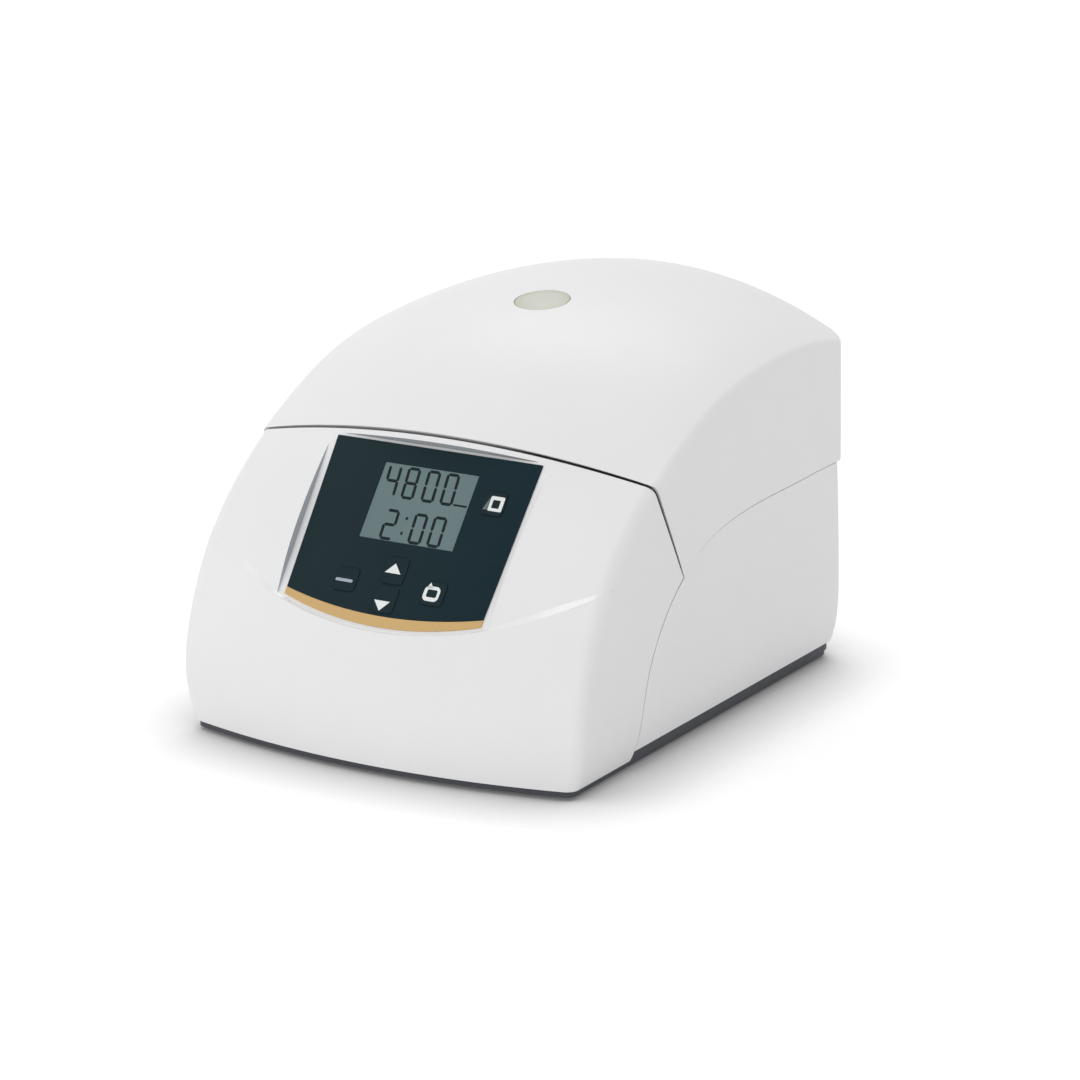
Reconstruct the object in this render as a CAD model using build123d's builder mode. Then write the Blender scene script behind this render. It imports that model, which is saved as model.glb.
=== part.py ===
from build123d import *
from math import cos, hypot, pi, radians, sin, sqrt
import os

# Mini centrifuge with a hinged hood lid. X runs right, Y runs back, Z up.
# The origin lies on the bench under the middle of the body.

# Overall body
body_width = 275.0
body_depth = 352.0
body_height = 247.0
body_foot = 6.0
housing_foot = 12.0
side_wall = 3.0
half_width = body_width / 2
half_depth = body_depth / 2
front_y = -half_depth
rear_y = half_depth

# How far helper solids and cuts run past what they cut
far_margin = 60.0
side_margin = 4.0
plan_margin = 20.0
cut_margin = 1.0
least_radius = 1.0
far_front = -half_depth - far_margin
far_rear = half_depth + far_margin
far_top = body_height + far_margin

# Middle line of the front and top, from under the front edge to behind the rear edge,
# with the rise of the cross arc at each point (y, z, crown)
front_crown = 18.0
top_crown = 32.0
crown_width = body_width - 15.0
profile_rows = [
    (front_y + 5.5, -22.0, front_crown),
    (front_y + 2.0, 6.0, front_crown),
    (front_y, 38.0, 16.0),
    (front_y + 8.8, 71.4, 13.0),
    (front_y + 29.4, 112.5, 11.0),
    (front_y + 56.2, 148.2, 13.0),
    (front_y + 114.0, body_height - 43.6, 26.6),
    (front_y + 158.4, body_height - 17.5, top_crown),
    (rear_y - 111.3, body_height - 1.8, top_crown),
    (rear_y - 41.9, body_height - 1.6, top_crown),
    (rear_y + 14.0, body_height - 11.0, top_crown),
]
lower_rows = 5

# Plan of the sides at each height: height, half width, rear face
side_top_z = body_height + 5.0
side_stations = [
    (body_foot, half_width - 6.5, rear_y - 2.5),
    (20.0, half_width - 1.9, rear_y - 0.6),
    (40.0, half_width, rear_y),
    (90.0, half_width - 0.3, rear_y - 1.4),
    (128.0, half_width - 0.9, rear_y - 3.6),
    (190.0, half_width - 2.2, rear_y - 4.0),
    (side_top_z, half_width - 3.5, rear_y - 4.0),
]
lid_side_stations = [
    (90.0, half_width, rear_y),
    (130.0, half_width - 0.3, rear_y),
    (190.0, half_width - 1.5, rear_y),
    (side_top_z, half_width - 2.9, rear_y),
]
rear_corner_radius = 16.0
front_corner_radius = 8.0
lid_crease_radius = 5.0

# Limits that pick the edges to round, along y and in from the sides
lid_edge_y = front_y + 156.0
cavity_edge_y = front_y + 96.0
foot_edge_y = front_y + 16.0
seam_edge_y = front_y + 236.0
corner_edge_reach = 17.5

# Seams between the three shells, in side view (y, z)
seam_gap = 0.8
front_seam_gap = 1.3
lid_front = (front_y + 90.0, 182.0)
front_line_stretch = 6
lid_corner = (front_y + 105.0, 165.0)
seam_junction = (front_y + 137.7, 104.3)
hinge_y = rear_y - 13.0
hinge_z = 142.5
lid_heel_radius = 13.0
rear_seam_z = hinge_z - lid_heel_radius
cheek_seam = [
    (front_y + 84.5, -20.0),
    (front_y + 87.4, 20.0),
    (front_y + 94.3, 52.5),
    (front_y + 111.5, 81.0),
    seam_junction,
]
side_seam = [
    seam_junction,
    (front_y + 164.8, 118.6),
    (front_y + 196.0, 125.2),
    (rear_y - 106.0, 128.4),
    (rear_y - 46.0, rear_seam_z),
]

# Smiling step across the fascia, in front view
smile_z = 83.0
smile_radius = 285.0
smile_depth = 2.6
smile_reach = 0.75

# Sloping control panel
panel_lean = 38.4
panel_foot = (0, front_y + 27.8, 96.4)
panel_height = 99.0
panel_top_width = 141.0
panel_bottom_width = 134.6
panel_bow = 8.3
panel_floor = 2.5
panel_draft = 6.0
panel_side_margin = 5.0
panel_top_margin = 2.0
panel_low_margin = 1.5
membrane_thickness = 0.8
lcd_width = 64.0
lcd_height = 48.5
lcd_centre_y = 62.3
lcd_sink = 0.3
key_size = 15.0
key_corner = 3.0
key_clearance = 0.3
key_travel = 0.3
key_proud = 0.3
key_gap = key_travel + 0.1
key_side_x = 30.0
key_low_y = 10.5
key_up_y = 20.5
key_down_y = 2.0
key_corner_x = 48.0
key_corner_y = 71.0
key_tall = 17.0
lcd_ledge = 3.0
lcd_clearance = 0.2
lcd_back_gap = 0.3
stripe_edge = 4.5
stripe_bow = 2.3
stripe_gap = 0.2
panel_reach = 30.0
board_standoff = 6.0
board_thickness = 1.6
board_width = 118.0
board_tall = 76.0
board_centre_y = 48.0
board_hole = 1.6
board_hole_inset = 5.0
board_corner = 2.0
spacer_radius = 3.2

# Lid window
window_radius = 17.0

# Rear face: inlet, switch and vents
inlet_x = 52.5 - half_width
inlet_z = 41.0
inlet_width = 28.0
inlet_tall = 30.0
inlet_back = 26.0
inlet_face_y = rear_y - 1.0
socket_width = 24.0
socket_tall = 16.0
socket_depth = 16.0
socket_corner = 3.0
socket_z = 36.5
pin_width = 2.0
pin_tall = 4.0
pin_spread = 7.0
pin_rise = 2.0
pin_recess = 2.0
drawer_width = 22.0
drawer_tall = 7.0
drawer_z = 50.5
drawer_length = 20.0
drawer_stop = 1.0
drawer_wall = 2.0
drawer_front = 4.0
switch_x = 87.5 - half_width
switch_z = 41.0
switch_width = 21.0
switch_tall = 14.0
switch_back = 22.0
rocker_radius = 8.2
rocker_tall = 9.0
rocker_swing = 7.0
rocker_pivot_y = rear_y - 9.0
rocker_shoulder = 6.0
rocker_valley = 4.5
vent_x = half_width - 82.5
vent_z = 62.0
vent_pitch = 7.0
vent_count = 9
vent_length = 40.0
vent_slot = 3.2
rear_cut = 16.0

# Striker and slot
lip_thickness = 2.5
striker_y = front_y + 104.0
striker_depth = 10.0
striker_slot = 9.0
slot_clearance = 1.5

# Chamber and rotor
rotor_y = rear_y - 145.0
bowl_radius = 87.0
bowl_wall = 1.2
bowl_floor_z = 84.0
bowl_flange = 4.0
bowl_hole = 24.0
bowl_bend = 14.0
deck_z = 152.0
deck_wall = 2.5
deck_inset = 7.0
deck_front_y = front_y + 114.6
deck_rear_y = rear_y - 31.0
deck_rear_reach = rear_y - 10.0
deck_skirt = [
    (deck_front_y, 92.0),
    (front_y + 156.0, 102.0),
    (front_y + 216.0, 113.0),
    (deck_rear_reach, 113.0),
]
shelf_z = 124.0
guard_wall = 3.0
guard_clearance = 1.0
guard_wire_slot = 30.0
fit_clearance = 0.3

# Base pan and feet
pan_low = 2.4
pan_high = 9.0
pan_rim_high = 22.0
pan_rim_wall = 2.2
pan_inset = 1.2
pan_fit = 0.4
foot_radius = 11.0
foot_stem_radius = 4.0
foot_x = half_width - 33.5
foot_front_y = front_y + 60.0
foot_rear_y = rear_y - 34.0
pan_sill_reach = 0.2
sill_front_y = front_y + 87.5
pan_vent_pitch = 9.0
pan_vent_count = 9
pan_vent_length = 60.0
screw_head_chamfer = 0.6
guard_wire_height = 20.0

# Motor
motor_radius = 48.0
motor_wall = 3.0
motor_height = 46.0
motor_plate_radius = 66.0
motor_plate_thickness = 4.0
damper_radius = 8.0
damper_height = 12.0
damper_stud_radius = 2.5
damper_circle = 57.0
damper_count = 3
shaft_radius = 5.0
shaft_clearance = 0.05
bearing_radius = 13.0
bearing_width = 8.0
bearing_wall = 4.0
bearing_lift = 2.0
shaft_end_gap = 0.5
stator_wall = 17.0
stator_height = 26.0
stator_lift = 1.0
slot_count = 12
slot_width = 4.0
slot_depth = 9.0
air_gap = 0.8
end_cap_thickness = 5.0
boot_lip = 2.0

# Rotor with 24 slanted places for 2 ml tubes
rotor_radius = 80.0
rotor_floor_gap = 8.0
rotor_hub_radius = 16.0
rotor_hub_rise = 4.0
nut_top_wall = 1.0
rotor_dish_radius = 38.0
rotor_rim_radius = 73.0
rotor_foot_radius = 69.0
tube_count = 24
tube_bore = 11.0
tube_lean = 45.0
tube_circle = 53.0
tube_depth = 30.0
tube_floor = 3.8
nut_radius = 10.0
nut_height = 7.0
rotor_lid_wall = 2.0
rotor_lid_radius = 76.0
lid_stem_radius = 7.0
knob_radius = 15.0
knob_height = 6.0
knob_chamfer = 1.0
knob_lobes = 6
knob_notch = 3.2

# Lid inside
liner_gap = 3.0
liner_slant = 0.8
liner_fit = 0.4
liner_wall = 2.2
liner_z = 158.0
liner_rear_y = rear_y - 26.0
seal_radius = 92.0
seal_width = 4.0
sight_tube_wall = 2.0
lens_thickness = 2.5
lens_sink = 2.0
bumper_radius = 5.0
bumper_x = half_width - 37.5
bumper_y = front_y + 142.0
striker_thickness = 3.0
striker_eye_z = 130.0
striker_eye_size = 7.4
striker_eye_corner = 1.0
striker_end = 7.5
striker_foot = 26.0
striker_round = 3.3

# Hinge
hinge_x = half_width - 39.5
hinge_pin_radius = 3.0
hinge_pin_clearance = 0.05
hinge_boss_radius = 7.0
hinge_arm_width = 7.0
hinge_arm_reach = 44.0
hinge_arm_thickness = 8.0
hinge_cheek = 3.0
hinge_side_gap = 0.4
hinge_cheek_rise = 7.0
hinge_cheek_drop = 1.0
hinge_plate_lift = 2.0
hinge_plate_ear = 4.0
hinge_arm_gap = 1.5

# Lock
bolt_radius = 3.0
bolt_clearance = 0.1
bolt_length = 40.0
bolt_rest_gap = 1.0
bolt_chamfer = 0.75
lock_half = 18.0
lock_low = 116.0
lock_high = 146.0
lock_slot = 8.0
lock_floor = 4.0
lock_depth = 24.0
solenoid_radius = 9.0
solenoid_length = 26.0

# Power board in the rear
board_x = half_width - 82.5
board_y = rear_y - 26.0
board_low = 14.0
board_length = 96.0
board_depth = 34.0
board_post_radius = 3.0
board_post_inset = 6.0
transformer_size = (34.0, 28.0, 30.0)
transformer_x = board_x - 26.0
transformer_corner = 3.0
capacitor_radius = 8.0
capacitor_height = 26.0
capacitor_x = board_x + 6.0
capacitor_pitch = 18.0
sink_x = board_x + 33.0
sink_width = 22.0
sink_height = 36.0
sink_fins = 5
sink_fin_wall = 1.6
sink_base = 3.0
sink_inset = 2.0

# Posts and screws
post_radius = 6.0
post_x = half_width - 25.5
post_front_y = front_y + 132.0
post_rear_y = rear_y - 44.0
screw_radius = 2.0
screw_head_radius = 3.8
screw_head_height = 2.2
screw_reach = 14.0
screw_fit = 0.05
boss_radius = 4.5
boss_x = half_width - 29.5
boss_near_x = 40.0
boss_front_y = front_y + 154.0
boss_middle_y = rear_y - 92.0
boss_rear_y = rear_y - 40.0
boss_places = [
    (-boss_x, boss_front_y),
    (boss_x, boss_front_y),
    (-boss_x, boss_middle_y),
    (boss_x, boss_middle_y),
    (-boss_near_x, boss_rear_y),
    (boss_near_x, boss_rear_y),
]

# Flat cable from the display board to the motor
cable_width = 12.0
cable_thickness = 1.0
cable_drop_y = front_y + 54.0
cable_floor_gap = 0.3
cable_top_z = 100.0
cable_overlap = 12.0

os.makedirs("parts", exist_ok=True)


def keep(builder, name):
    """Label a finished piece and write it to its own file."""
    builder.part.label = name
    export_step(builder.part, "parts/" + name + ".step")


def profile_at(x, inset, step_in):
    """Points of the front and top line in the plane at x, moved inward."""
    last = len(profile_rows) - 1
    fade = max(1 - (x / half_width) ** 2, 0)
    moved = []
    for index, (y, z, sagitta) in enumerate(profile_rows):
        before = profile_rows[max(index - 1, 0)]
        after = profile_rows[min(index + 1, last)]
        run_y = after[0] - before[0]
        run_z = after[1] - before[1]
        length = hypot(run_y, run_z)
        radius = ((crown_width / 2) ** 2 + sagitta**2) / (2 * sagitta)
        drop = radius - sqrt(radius**2 - x**2) + inset
        if index <= lower_rows:
            drop += step_in * fade
        moved.append((y + run_z / length * drop, z - run_y / length * drop))
    return moved


def envelope(inset, stations, step_in=0.0):
    """Solid that fills the body's outer form, moved inward by inset."""
    reach = half_width + side_margin
    with BuildPart() as form:
        for x in (-reach, -reach / 2, 0, reach / 2, reach):
            points = profile_at(x, inset, step_in)
            with BuildSketch(Plane.YZ.offset(x)):
                with BuildLine():
                    Spline(*points)
                    Polyline(points[-1], (far_rear, -far_margin), (points[0][0], -far_margin), points[0])
                make_face()
        loft()
    with BuildPart() as sides:
        for z, half, rear in stations:
            front = -half_depth - plan_margin
            with BuildSketch(Plane.XY.offset(z)):
                with Locations((0, (front + rear - inset) / 2)):
                    RectangleRounded(
                        2 * (half - inset),
                        rear - inset - front,
                        max(rear_corner_radius - inset, least_radius),
                    )
        loft()
    with BuildPart() as result:
        add(form.part)
        add(sides.part, mode=Mode.INTERSECT)
    return result.part


def moved(points, dy, dz):
    """Side-view points shifted together."""
    return [(y + dy, z + dz) for y, z in points]


def side_block(lines, curves=()):
    """Solid across the whole width with the given side-view outline."""
    with BuildPart() as block:
        with BuildSketch(Plane.YZ):
            with BuildLine():
                for points in lines:
                    Polyline(*points)
                for points in curves:
                    Spline(*points)
            make_face()
        extrude(amount=body_width, both=True)
    return block.part


def smile_block():
    """Solid above the smiling step, seen from the front."""
    with BuildPart() as block:
        with BuildSketch(Plane.XZ):
            with BuildLine():
                far_x = body_width * smile_reach
                rise = smile_radius - sqrt(smile_radius**2 - far_x**2)
                ThreePointArc((-far_x, smile_z + rise), (0, smile_z), (far_x, smile_z + rise))
                Polyline(
                    (far_x, smile_z + rise),
                    (far_x, far_top),
                    (-far_x, far_top),
                    (-far_x, smile_z + rise),
                )
            make_face()
        extrude(amount=body_depth, both=True)
    return block.part


def widest_face_edges(part, low_y, high_y):
    """Edges of the part's largest face whose middle lies between two values of y."""
    face = part.faces().sort_by(SortBy.AREA)[-1]
    return [edge for edge in face.edges() if low_y < (edge @ 0.5).Y < high_y]


def panel_face(low_edge, low_bow, side=0.0, top=0.0):
    """Control panel outline with a bowed lower edge, widened at the sides and the top."""
    low_x = panel_bottom_width / 2 + side
    high_x = panel_top_width / 2 + side
    high_y = panel_height + top
    with BuildSketch() as face:
        with BuildLine():
            ThreePointArc((-low_x, -low_edge), (0, -low_edge - low_bow), (low_x, -low_edge))
            Polyline((low_x, -low_edge), (high_x, high_y), (-high_x, high_y), (-low_x, -low_edge))
        make_face()
    return face.sketch


def column(radius, low, high, x=0.0, y=0.0):
    """Upright round column."""
    with BuildPart() as post:
        with BuildSketch(Plane.XY.offset(low)):
            with Locations((x, y)):
                Circle(radius)
        extrude(amount=high - low)
    return post.part


def spun(points):
    """Closed section turned about the rotor's axis; points are (radius, z)."""
    with BuildPart() as body_of_turn:
        with BuildSketch(rotor_plane):
            with BuildLine():
                Polyline(*points, points[0])
            make_face()
        revolve(axis=rotor_axis)
    return body_of_turn.part


def brick(low, high):
    """Box between two corners."""
    with BuildPart() as block:
        with BuildSketch(Plane.XY.offset(low[2])):
            with Locations(((low[0] + high[0]) / 2, (low[1] + high[1]) / 2)):
                Rectangle(high[0] - low[0], high[1] - low[1])
        extrude(amount=high[2] - low[2])
    return block.part


panel_plane = Plane(
    origin=panel_foot,
    x_dir=(1, 0, 0),
    z_dir=(0, -cos(radians(panel_lean)), sin(radians(panel_lean))),
)
rear_plane = Plane.XZ.offset(-half_depth - cut_margin)
rotor_plane = Plane(origin=(0, rotor_y, 0), x_dir=(1, 0, 0), z_dir=(0, -1, 0))
rotor_axis = Axis((0, rotor_y, 0), (0, 0, 1))

# Regions of the three shells
slope_y = lid_front[0] - lid_corner[0]
slope_z = lid_front[1] - lid_corner[1]
front_line_far = (lid_corner[0] + front_line_stretch * slope_y, lid_corner[1] + front_line_stretch * slope_z)
half_gap = seam_gap / 2

cheek = moved(cheek_seam, -half_gap, half_gap)
fascia_corner = (lid_corner[0] - half_gap, lid_corner[1] - half_gap)
fascia_far = (front_line_far[0] - half_gap, front_line_far[1] - half_gap)
fascia_region = side_block(
    [[cheek[-1], fascia_corner, fascia_far, (far_front, fascia_far[1]), (far_front, cheek[0][1]), cheek[0]]],
    [cheek],
)

lid_side = moved(side_seam, 0, half_gap)
lid_set_back = front_seam_gap - half_gap
lid_corner_point = (lid_corner[0] + lid_set_back, lid_corner[1] + lid_set_back)
lid_far = (front_line_far[0] + lid_set_back, front_line_far[1] + lid_set_back)
lid_junction = (seam_junction[0] + half_gap, seam_junction[1] + half_gap)
with BuildPart() as lid_region_block:
    with BuildSketch(Plane.YZ):
        with BuildLine():
            heel_low = (hinge_y, hinge_z - lid_heel_radius + half_gap)
            Spline(*([lid_junction] + lid_side[1:]))
            Line(lid_side[-1], heel_low)
            heel = CenterArc((hinge_y, hinge_z + half_gap), lid_heel_radius, -90, 90)
            Polyline(
                heel @ 1,
                (hinge_y + lid_heel_radius, far_top),
                (lid_far[0], far_top),
                lid_far,
                lid_corner_point,
                lid_junction,
            )
        make_face()
    extrude(amount=body_width, both=True)
lid_region = lid_region_block.part

body_cheek = moved(cheek_seam, half_gap, -half_gap)
body_side = moved(side_seam, 0, -half_gap)
body_junction = (seam_junction[0] + half_gap, seam_junction[1] - half_gap)
with BuildPart() as housing_region_block:
    with BuildSketch(Plane.YZ):
        with BuildLine():
            rising = Spline(*(body_cheek[:-1] + [body_junction]))
            level = Spline(*([body_junction] + body_side[1:]))
            Polyline(
                level @ 1,
                (far_rear, (level @ 1).Y),
                (far_rear, body_cheek[0][1]),
                rising @ 0,
            )
        make_face()
    extrude(amount=body_width, both=True)
housing_region = housing_region_block.part

outer_body = envelope(0, side_stations)
inner_body = envelope(side_wall, side_stations)
lip_body = envelope(deck_inset - fit_clearance, side_stations)

# Housing: both sides and the rear in one piece, with an inward lip under its seam
with BuildPart() as housing_lip:
    add(inner_body)
    add(housing_region, mode=Mode.INTERSECT)
    add(lip_body, mode=Mode.SUBTRACT)
    add(housing_region.moved(Location((0, 0, -lip_thickness))), mode=Mode.SUBTRACT)
    split(bisect_by=Plane.XY.offset(pan_rim_high + fit_clearance), keep=Keep.TOP)
with BuildPart() as housing_shell:
    add(outer_body)
    add(inner_body, mode=Mode.SUBTRACT)
    add(housing_region, mode=Mode.INTERSECT)
    add(housing_lip.part)
    split(bisect_by=Plane.XY.offset(housing_foot), keep=Keep.TOP)
    with BuildSketch(rear_plane):
        with Locations((inlet_x, inlet_z)):
            Rectangle(inlet_width, inlet_tall)
        with Locations((switch_x, switch_z)):
            Rectangle(switch_width, switch_tall)
        with Locations((vent_x, vent_z)):
            with GridLocations(vent_pitch, 0, vent_count, 1):
                SlotCenterToCenter(vent_length, vent_slot, rotation=90)
    extrude(amount=rear_cut, mode=Mode.SUBTRACT)
keep(housing_shell, "housing_shell")

# Lid shell
with BuildPart() as lid_form:
    add(envelope(0, lid_side_stations))
    add(lid_region, mode=Mode.INTERSECT)
    fillet(widest_face_edges(lid_form.part, lid_edge_y, far_rear), lid_crease_radius)
with BuildPart() as lid_cavity:
    add(envelope(side_wall, lid_side_stations))
    fillet(widest_face_edges(lid_cavity.part, cavity_edge_y, far_rear), lid_crease_radius - side_wall)
with BuildPart() as lid_bosses:
    with BuildSketch(Plane.XY.offset(liner_z + liner_wall)):
        with Locations(*boss_places):
            Circle(boss_radius)
            Circle(screw_radius + screw_fit, mode=Mode.SUBTRACT)
    extrude(amount=body_height - liner_z)
    add(lid_form.part, mode=Mode.INTERSECT)
with BuildPart() as lid_shell:
    add(lid_form.part)
    add(lid_cavity.part, mode=Mode.SUBTRACT)
    with BuildSketch(Plane.XY.offset(deck_z)):
        with Locations((0, rotor_y)):
            Circle(window_radius + fit_clearance)
    extrude(amount=body_height, mode=Mode.SUBTRACT)
    add(lid_bosses.part)
keep(lid_shell, "lid_shell")


def front_corner_edges(part):
    """Long edges where the front form meets the sides."""
    edges = widest_face_edges(part, foot_edge_y, seam_edge_y)
    return [edge for edge in edges if abs((edge @ 0.5).X) > half_width - corner_edge_reach]


def fascia_skin(inset):
    """Front form with its smiling step and rounded front corners."""
    with BuildPart() as lower:
        add(envelope(inset, side_stations))
        fillet(front_corner_edges(lower.part), front_corner_radius - inset)
        add(smile_block(), mode=Mode.SUBTRACT)
    with BuildPart() as upper:
        add(envelope(inset, side_stations, smile_depth))
        fillet(front_corner_edges(upper.part), front_corner_radius - inset)
        add(smile_block(), mode=Mode.INTERSECT)
    with BuildPart() as whole:
        add(lower.part)
        add(upper.part)
    return whole.part


# Fascia: front skin, closing wall under the lid's front edge, and the panel recess
back_z = deck_z - deck_wall
back_share = (lid_corner[1] - back_z) / (lid_corner[1] - seam_junction[1])
back_y = lid_corner[0] + back_share * (seam_junction[0] - lid_corner[0])
inner_corner = (lid_corner[0] - side_wall, lid_corner[1] - side_wall)
fascia_hollow = side_block(
    [
        [
            (front_line_far[0] - side_wall, front_line_far[1] - side_wall),
            inner_corner,
            (back_y - side_wall, back_z),
            (rotor_y, back_z),
            (rotor_y, -far_margin),
            (far_front, -far_margin),
            (far_front, front_line_far[1] - side_wall),
            (front_line_far[0] - side_wall, front_line_far[1] - side_wall),
        ]
    ]
)
with BuildPart() as fascia_cavity:
    add(fascia_skin(side_wall))
    add(fascia_hollow, mode=Mode.INTERSECT)
with BuildPart() as fascia_form:
    add(fascia_skin(0))
    add(fascia_region, mode=Mode.INTERSECT)
recess_edge = stripe_edge + panel_low_margin
recess_bow = panel_bow + stripe_bow
with BuildPart() as panel_pocket:
    with BuildSketch(panel_plane.offset(-panel_floor)):
        add(
            panel_face(
                recess_edge + panel_floor,
                recess_bow,
                panel_side_margin + panel_floor,
                panel_top_margin + panel_floor,
            )
        )
    extrude(amount=panel_reach, taper=-panel_draft)
    add(fascia_form.part, mode=Mode.INTERSECT)
with BuildPart() as panel_recess:
    with BuildSketch(panel_plane):
        add(panel_face(recess_edge, recess_bow, panel_side_margin, panel_top_margin))
    extrude(amount=panel_reach, taper=-panel_draft)
with BuildPart() as front_fascia:
    add(fascia_form.part)
    add(fascia_cavity.part, mode=Mode.SUBTRACT)
    add(panel_pocket.part)
    add(panel_recess.part, mode=Mode.SUBTRACT)
    with BuildSketch(panel_plane.offset(-panel_reach)):
        with Locations((0, lcd_centre_y)):
            Rectangle(lcd_width - 2 * lcd_ledge, lcd_height - 2 * lcd_ledge)
    extrude(amount=2 * panel_reach, mode=Mode.SUBTRACT)
    add(
        brick(
            (-striker_slot / 2, striker_y - striker_depth / 2 - slot_clearance, lock_high),
            (striker_slot / 2, striker_y + striker_depth / 2 + slot_clearance, lid_front[1]),
        ),
        mode=Mode.SUBTRACT,
    )
keep(front_fascia, "front_fascia")

# Control panel pieces
key_places = {
    "key_menu": (-key_side_x, key_low_y, key_size, key_size),
    "key_up": (0, key_up_y, key_size, key_tall),
    "key_down": (0, key_down_y, key_size, key_tall),
    "key_start": (key_side_x, key_low_y, key_size, key_size),
    "key_open": (key_corner_x, key_corner_y, key_size, key_size),
}
with BuildPart() as membrane_panel:
    with BuildSketch(panel_plane):
        add(panel_face(0, panel_bow))
        with Locations((0, lcd_centre_y)):
            Rectangle(lcd_width + 2 * lcd_clearance, lcd_height + 2 * lcd_clearance, mode=Mode.SUBTRACT)
        for x, y, wide, tall in key_places.values():
            with Locations((x, y)):
                RectangleRounded(
                    wide + 2 * key_clearance,
                    tall + 2 * key_clearance,
                    key_corner + key_clearance,
                    mode=Mode.SUBTRACT,
                )
    extrude(amount=membrane_thickness)
keep(membrane_panel, "membrane_panel")

for name, (x, y, wide, tall) in key_places.items():
    with BuildPart() as key:
        with BuildSketch(panel_plane.offset(key_gap)):
            with Locations((x, y)):
                RectangleRounded(wide, tall, key_corner)
        extrude(amount=membrane_thickness + key_proud - key_gap)
    keep(key, name)

with BuildPart() as accent_stripe:
    with BuildSketch(panel_plane):
        add(panel_face(stripe_edge, panel_bow + stripe_bow))
        add(panel_face(stripe_gap, panel_bow, stripe_gap), mode=Mode.SUBTRACT)
    extrude(amount=membrane_thickness)
keep(accent_stripe, "accent_stripe")

with BuildPart() as lcd_glass:
    with BuildSketch(panel_plane):
        with Locations((0, lcd_centre_y)):
            Rectangle(lcd_width, lcd_height)
    extrude(amount=membrane_thickness - lcd_sink)
keep(lcd_glass, "lcd_glass")

with BuildPart() as lcd_module:
    with BuildSketch(panel_plane.offset(-panel_floor - board_standoff)):
        with Locations((0, lcd_centre_y)):
            Rectangle(
                lcd_width - 2 * lcd_ledge - 2 * fit_clearance,
                lcd_height - 2 * lcd_ledge - 2 * fit_clearance,
            )
    extrude(amount=panel_floor + board_standoff - lcd_back_gap)
keep(lcd_module, "lcd_module")

board_hole_span = board_width - 2 * board_hole_inset
board_hole_rise = board_tall - 2 * board_hole_inset
with BuildPart() as display_board:
    with BuildSketch(panel_plane.offset(-panel_floor - board_standoff - board_thickness)):
        with Locations((0, board_centre_y)):
            RectangleRounded(board_width, board_tall, board_corner)
            with GridLocations(board_hole_span, board_hole_rise, 2, 2):
                Circle(board_hole, mode=Mode.SUBTRACT)
    extrude(amount=board_thickness)
keep(display_board, "display_board")

with BuildPart() as board_spacers:
    with BuildSketch(panel_plane.offset(-panel_floor - board_standoff)):
        with Locations((0, board_centre_y)):
            with GridLocations(board_hole_span, board_hole_rise, 2, 2):
                Circle(spacer_radius)
    extrude(amount=board_standoff)
    with BuildSketch(panel_plane.offset(-panel_floor - board_standoff)):
        with Locations((0, board_centre_y)):
            with GridLocations(board_hole_span, board_hole_rise, 2, 2):
                Circle(board_hole - shaft_clearance)
    extrude(amount=-board_thickness - cut_margin)
keep(board_spacers, "board_spacers")


def foot_face(inset):
    """Plan outline of the body's foot, moved inward by inset."""
    half = side_stations[0][1] - inset
    rear = side_stations[0][2] - inset
    middle = profile_rows[1][0] + inset
    radius = ((crown_width / 2) ** 2 + front_crown**2) / (2 * front_crown)
    corner = middle + radius - sqrt(radius**2 - half**2)
    with BuildSketch() as face:
        with BuildLine():
            ThreePointArc((-half, corner), (0, middle), (half, corner))
            Polyline((half, corner), (half, rear), (-half, rear), (-half, corner))
        make_face()
        fillet(face.vertices().group_by(Axis.Y)[0], front_corner_radius - inset)
        fillet(face.vertices().group_by(Axis.Y)[-1], rear_corner_radius - inset)
    return face.sketch


# Pan at the foot of the body
foot_places = [(-foot_x, foot_front_y), (foot_x, foot_front_y), (-foot_x, foot_rear_y), (foot_x, foot_rear_y)]
post_places = [(-post_x, post_front_y), (post_x, post_front_y), (-post_x, post_rear_y), (post_x, post_rear_y)]
pan_wall = side_wall + pan_fit
with BuildPart() as base_pan:
    with BuildSketch(Plane.XY.offset(pan_low)):
        add(foot_face(pan_inset))
    extrude(amount=body_foot - pan_low)
    with BuildSketch(Plane.XY.offset(body_foot)):
        add(foot_face(pan_wall))
    extrude(amount=pan_rim_high - body_foot)
    with BuildSketch(Plane.XY.offset(body_foot)):
        add(foot_face(-pan_sill_reach))
        with Locations((0, sill_front_y - body_depth / 2)):
            Rectangle(2 * body_width, body_depth, mode=Mode.SUBTRACT)
    extrude(amount=housing_foot - body_foot)
    with BuildSketch(Plane.XY.offset(pan_high)):
        add(foot_face(pan_wall + pan_rim_wall))
    extrude(amount=body_height, mode=Mode.SUBTRACT)
    with BuildSketch(Plane.XY.offset(pan_low)):
        with Locations(*foot_places):
            Circle(foot_stem_radius + screw_fit)
        with Locations(*post_places):
            Circle(screw_radius + screw_fit)
        with Locations((0, rotor_y)):
            with GridLocations(pan_vent_pitch, 0, pan_vent_count, 1):
                SlotCenterToCenter(pan_vent_length, vent_slot, rotation=90)
    extrude(amount=pan_high - pan_low, mode=Mode.SUBTRACT)
    with BuildSketch(Plane.XY.offset(pan_low)):
        with Locations(*post_places):
            Circle(screw_head_radius + fit_clearance)
    extrude(amount=screw_head_height + fit_clearance, mode=Mode.SUBTRACT)
keep(base_pan, "base_pan")

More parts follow.
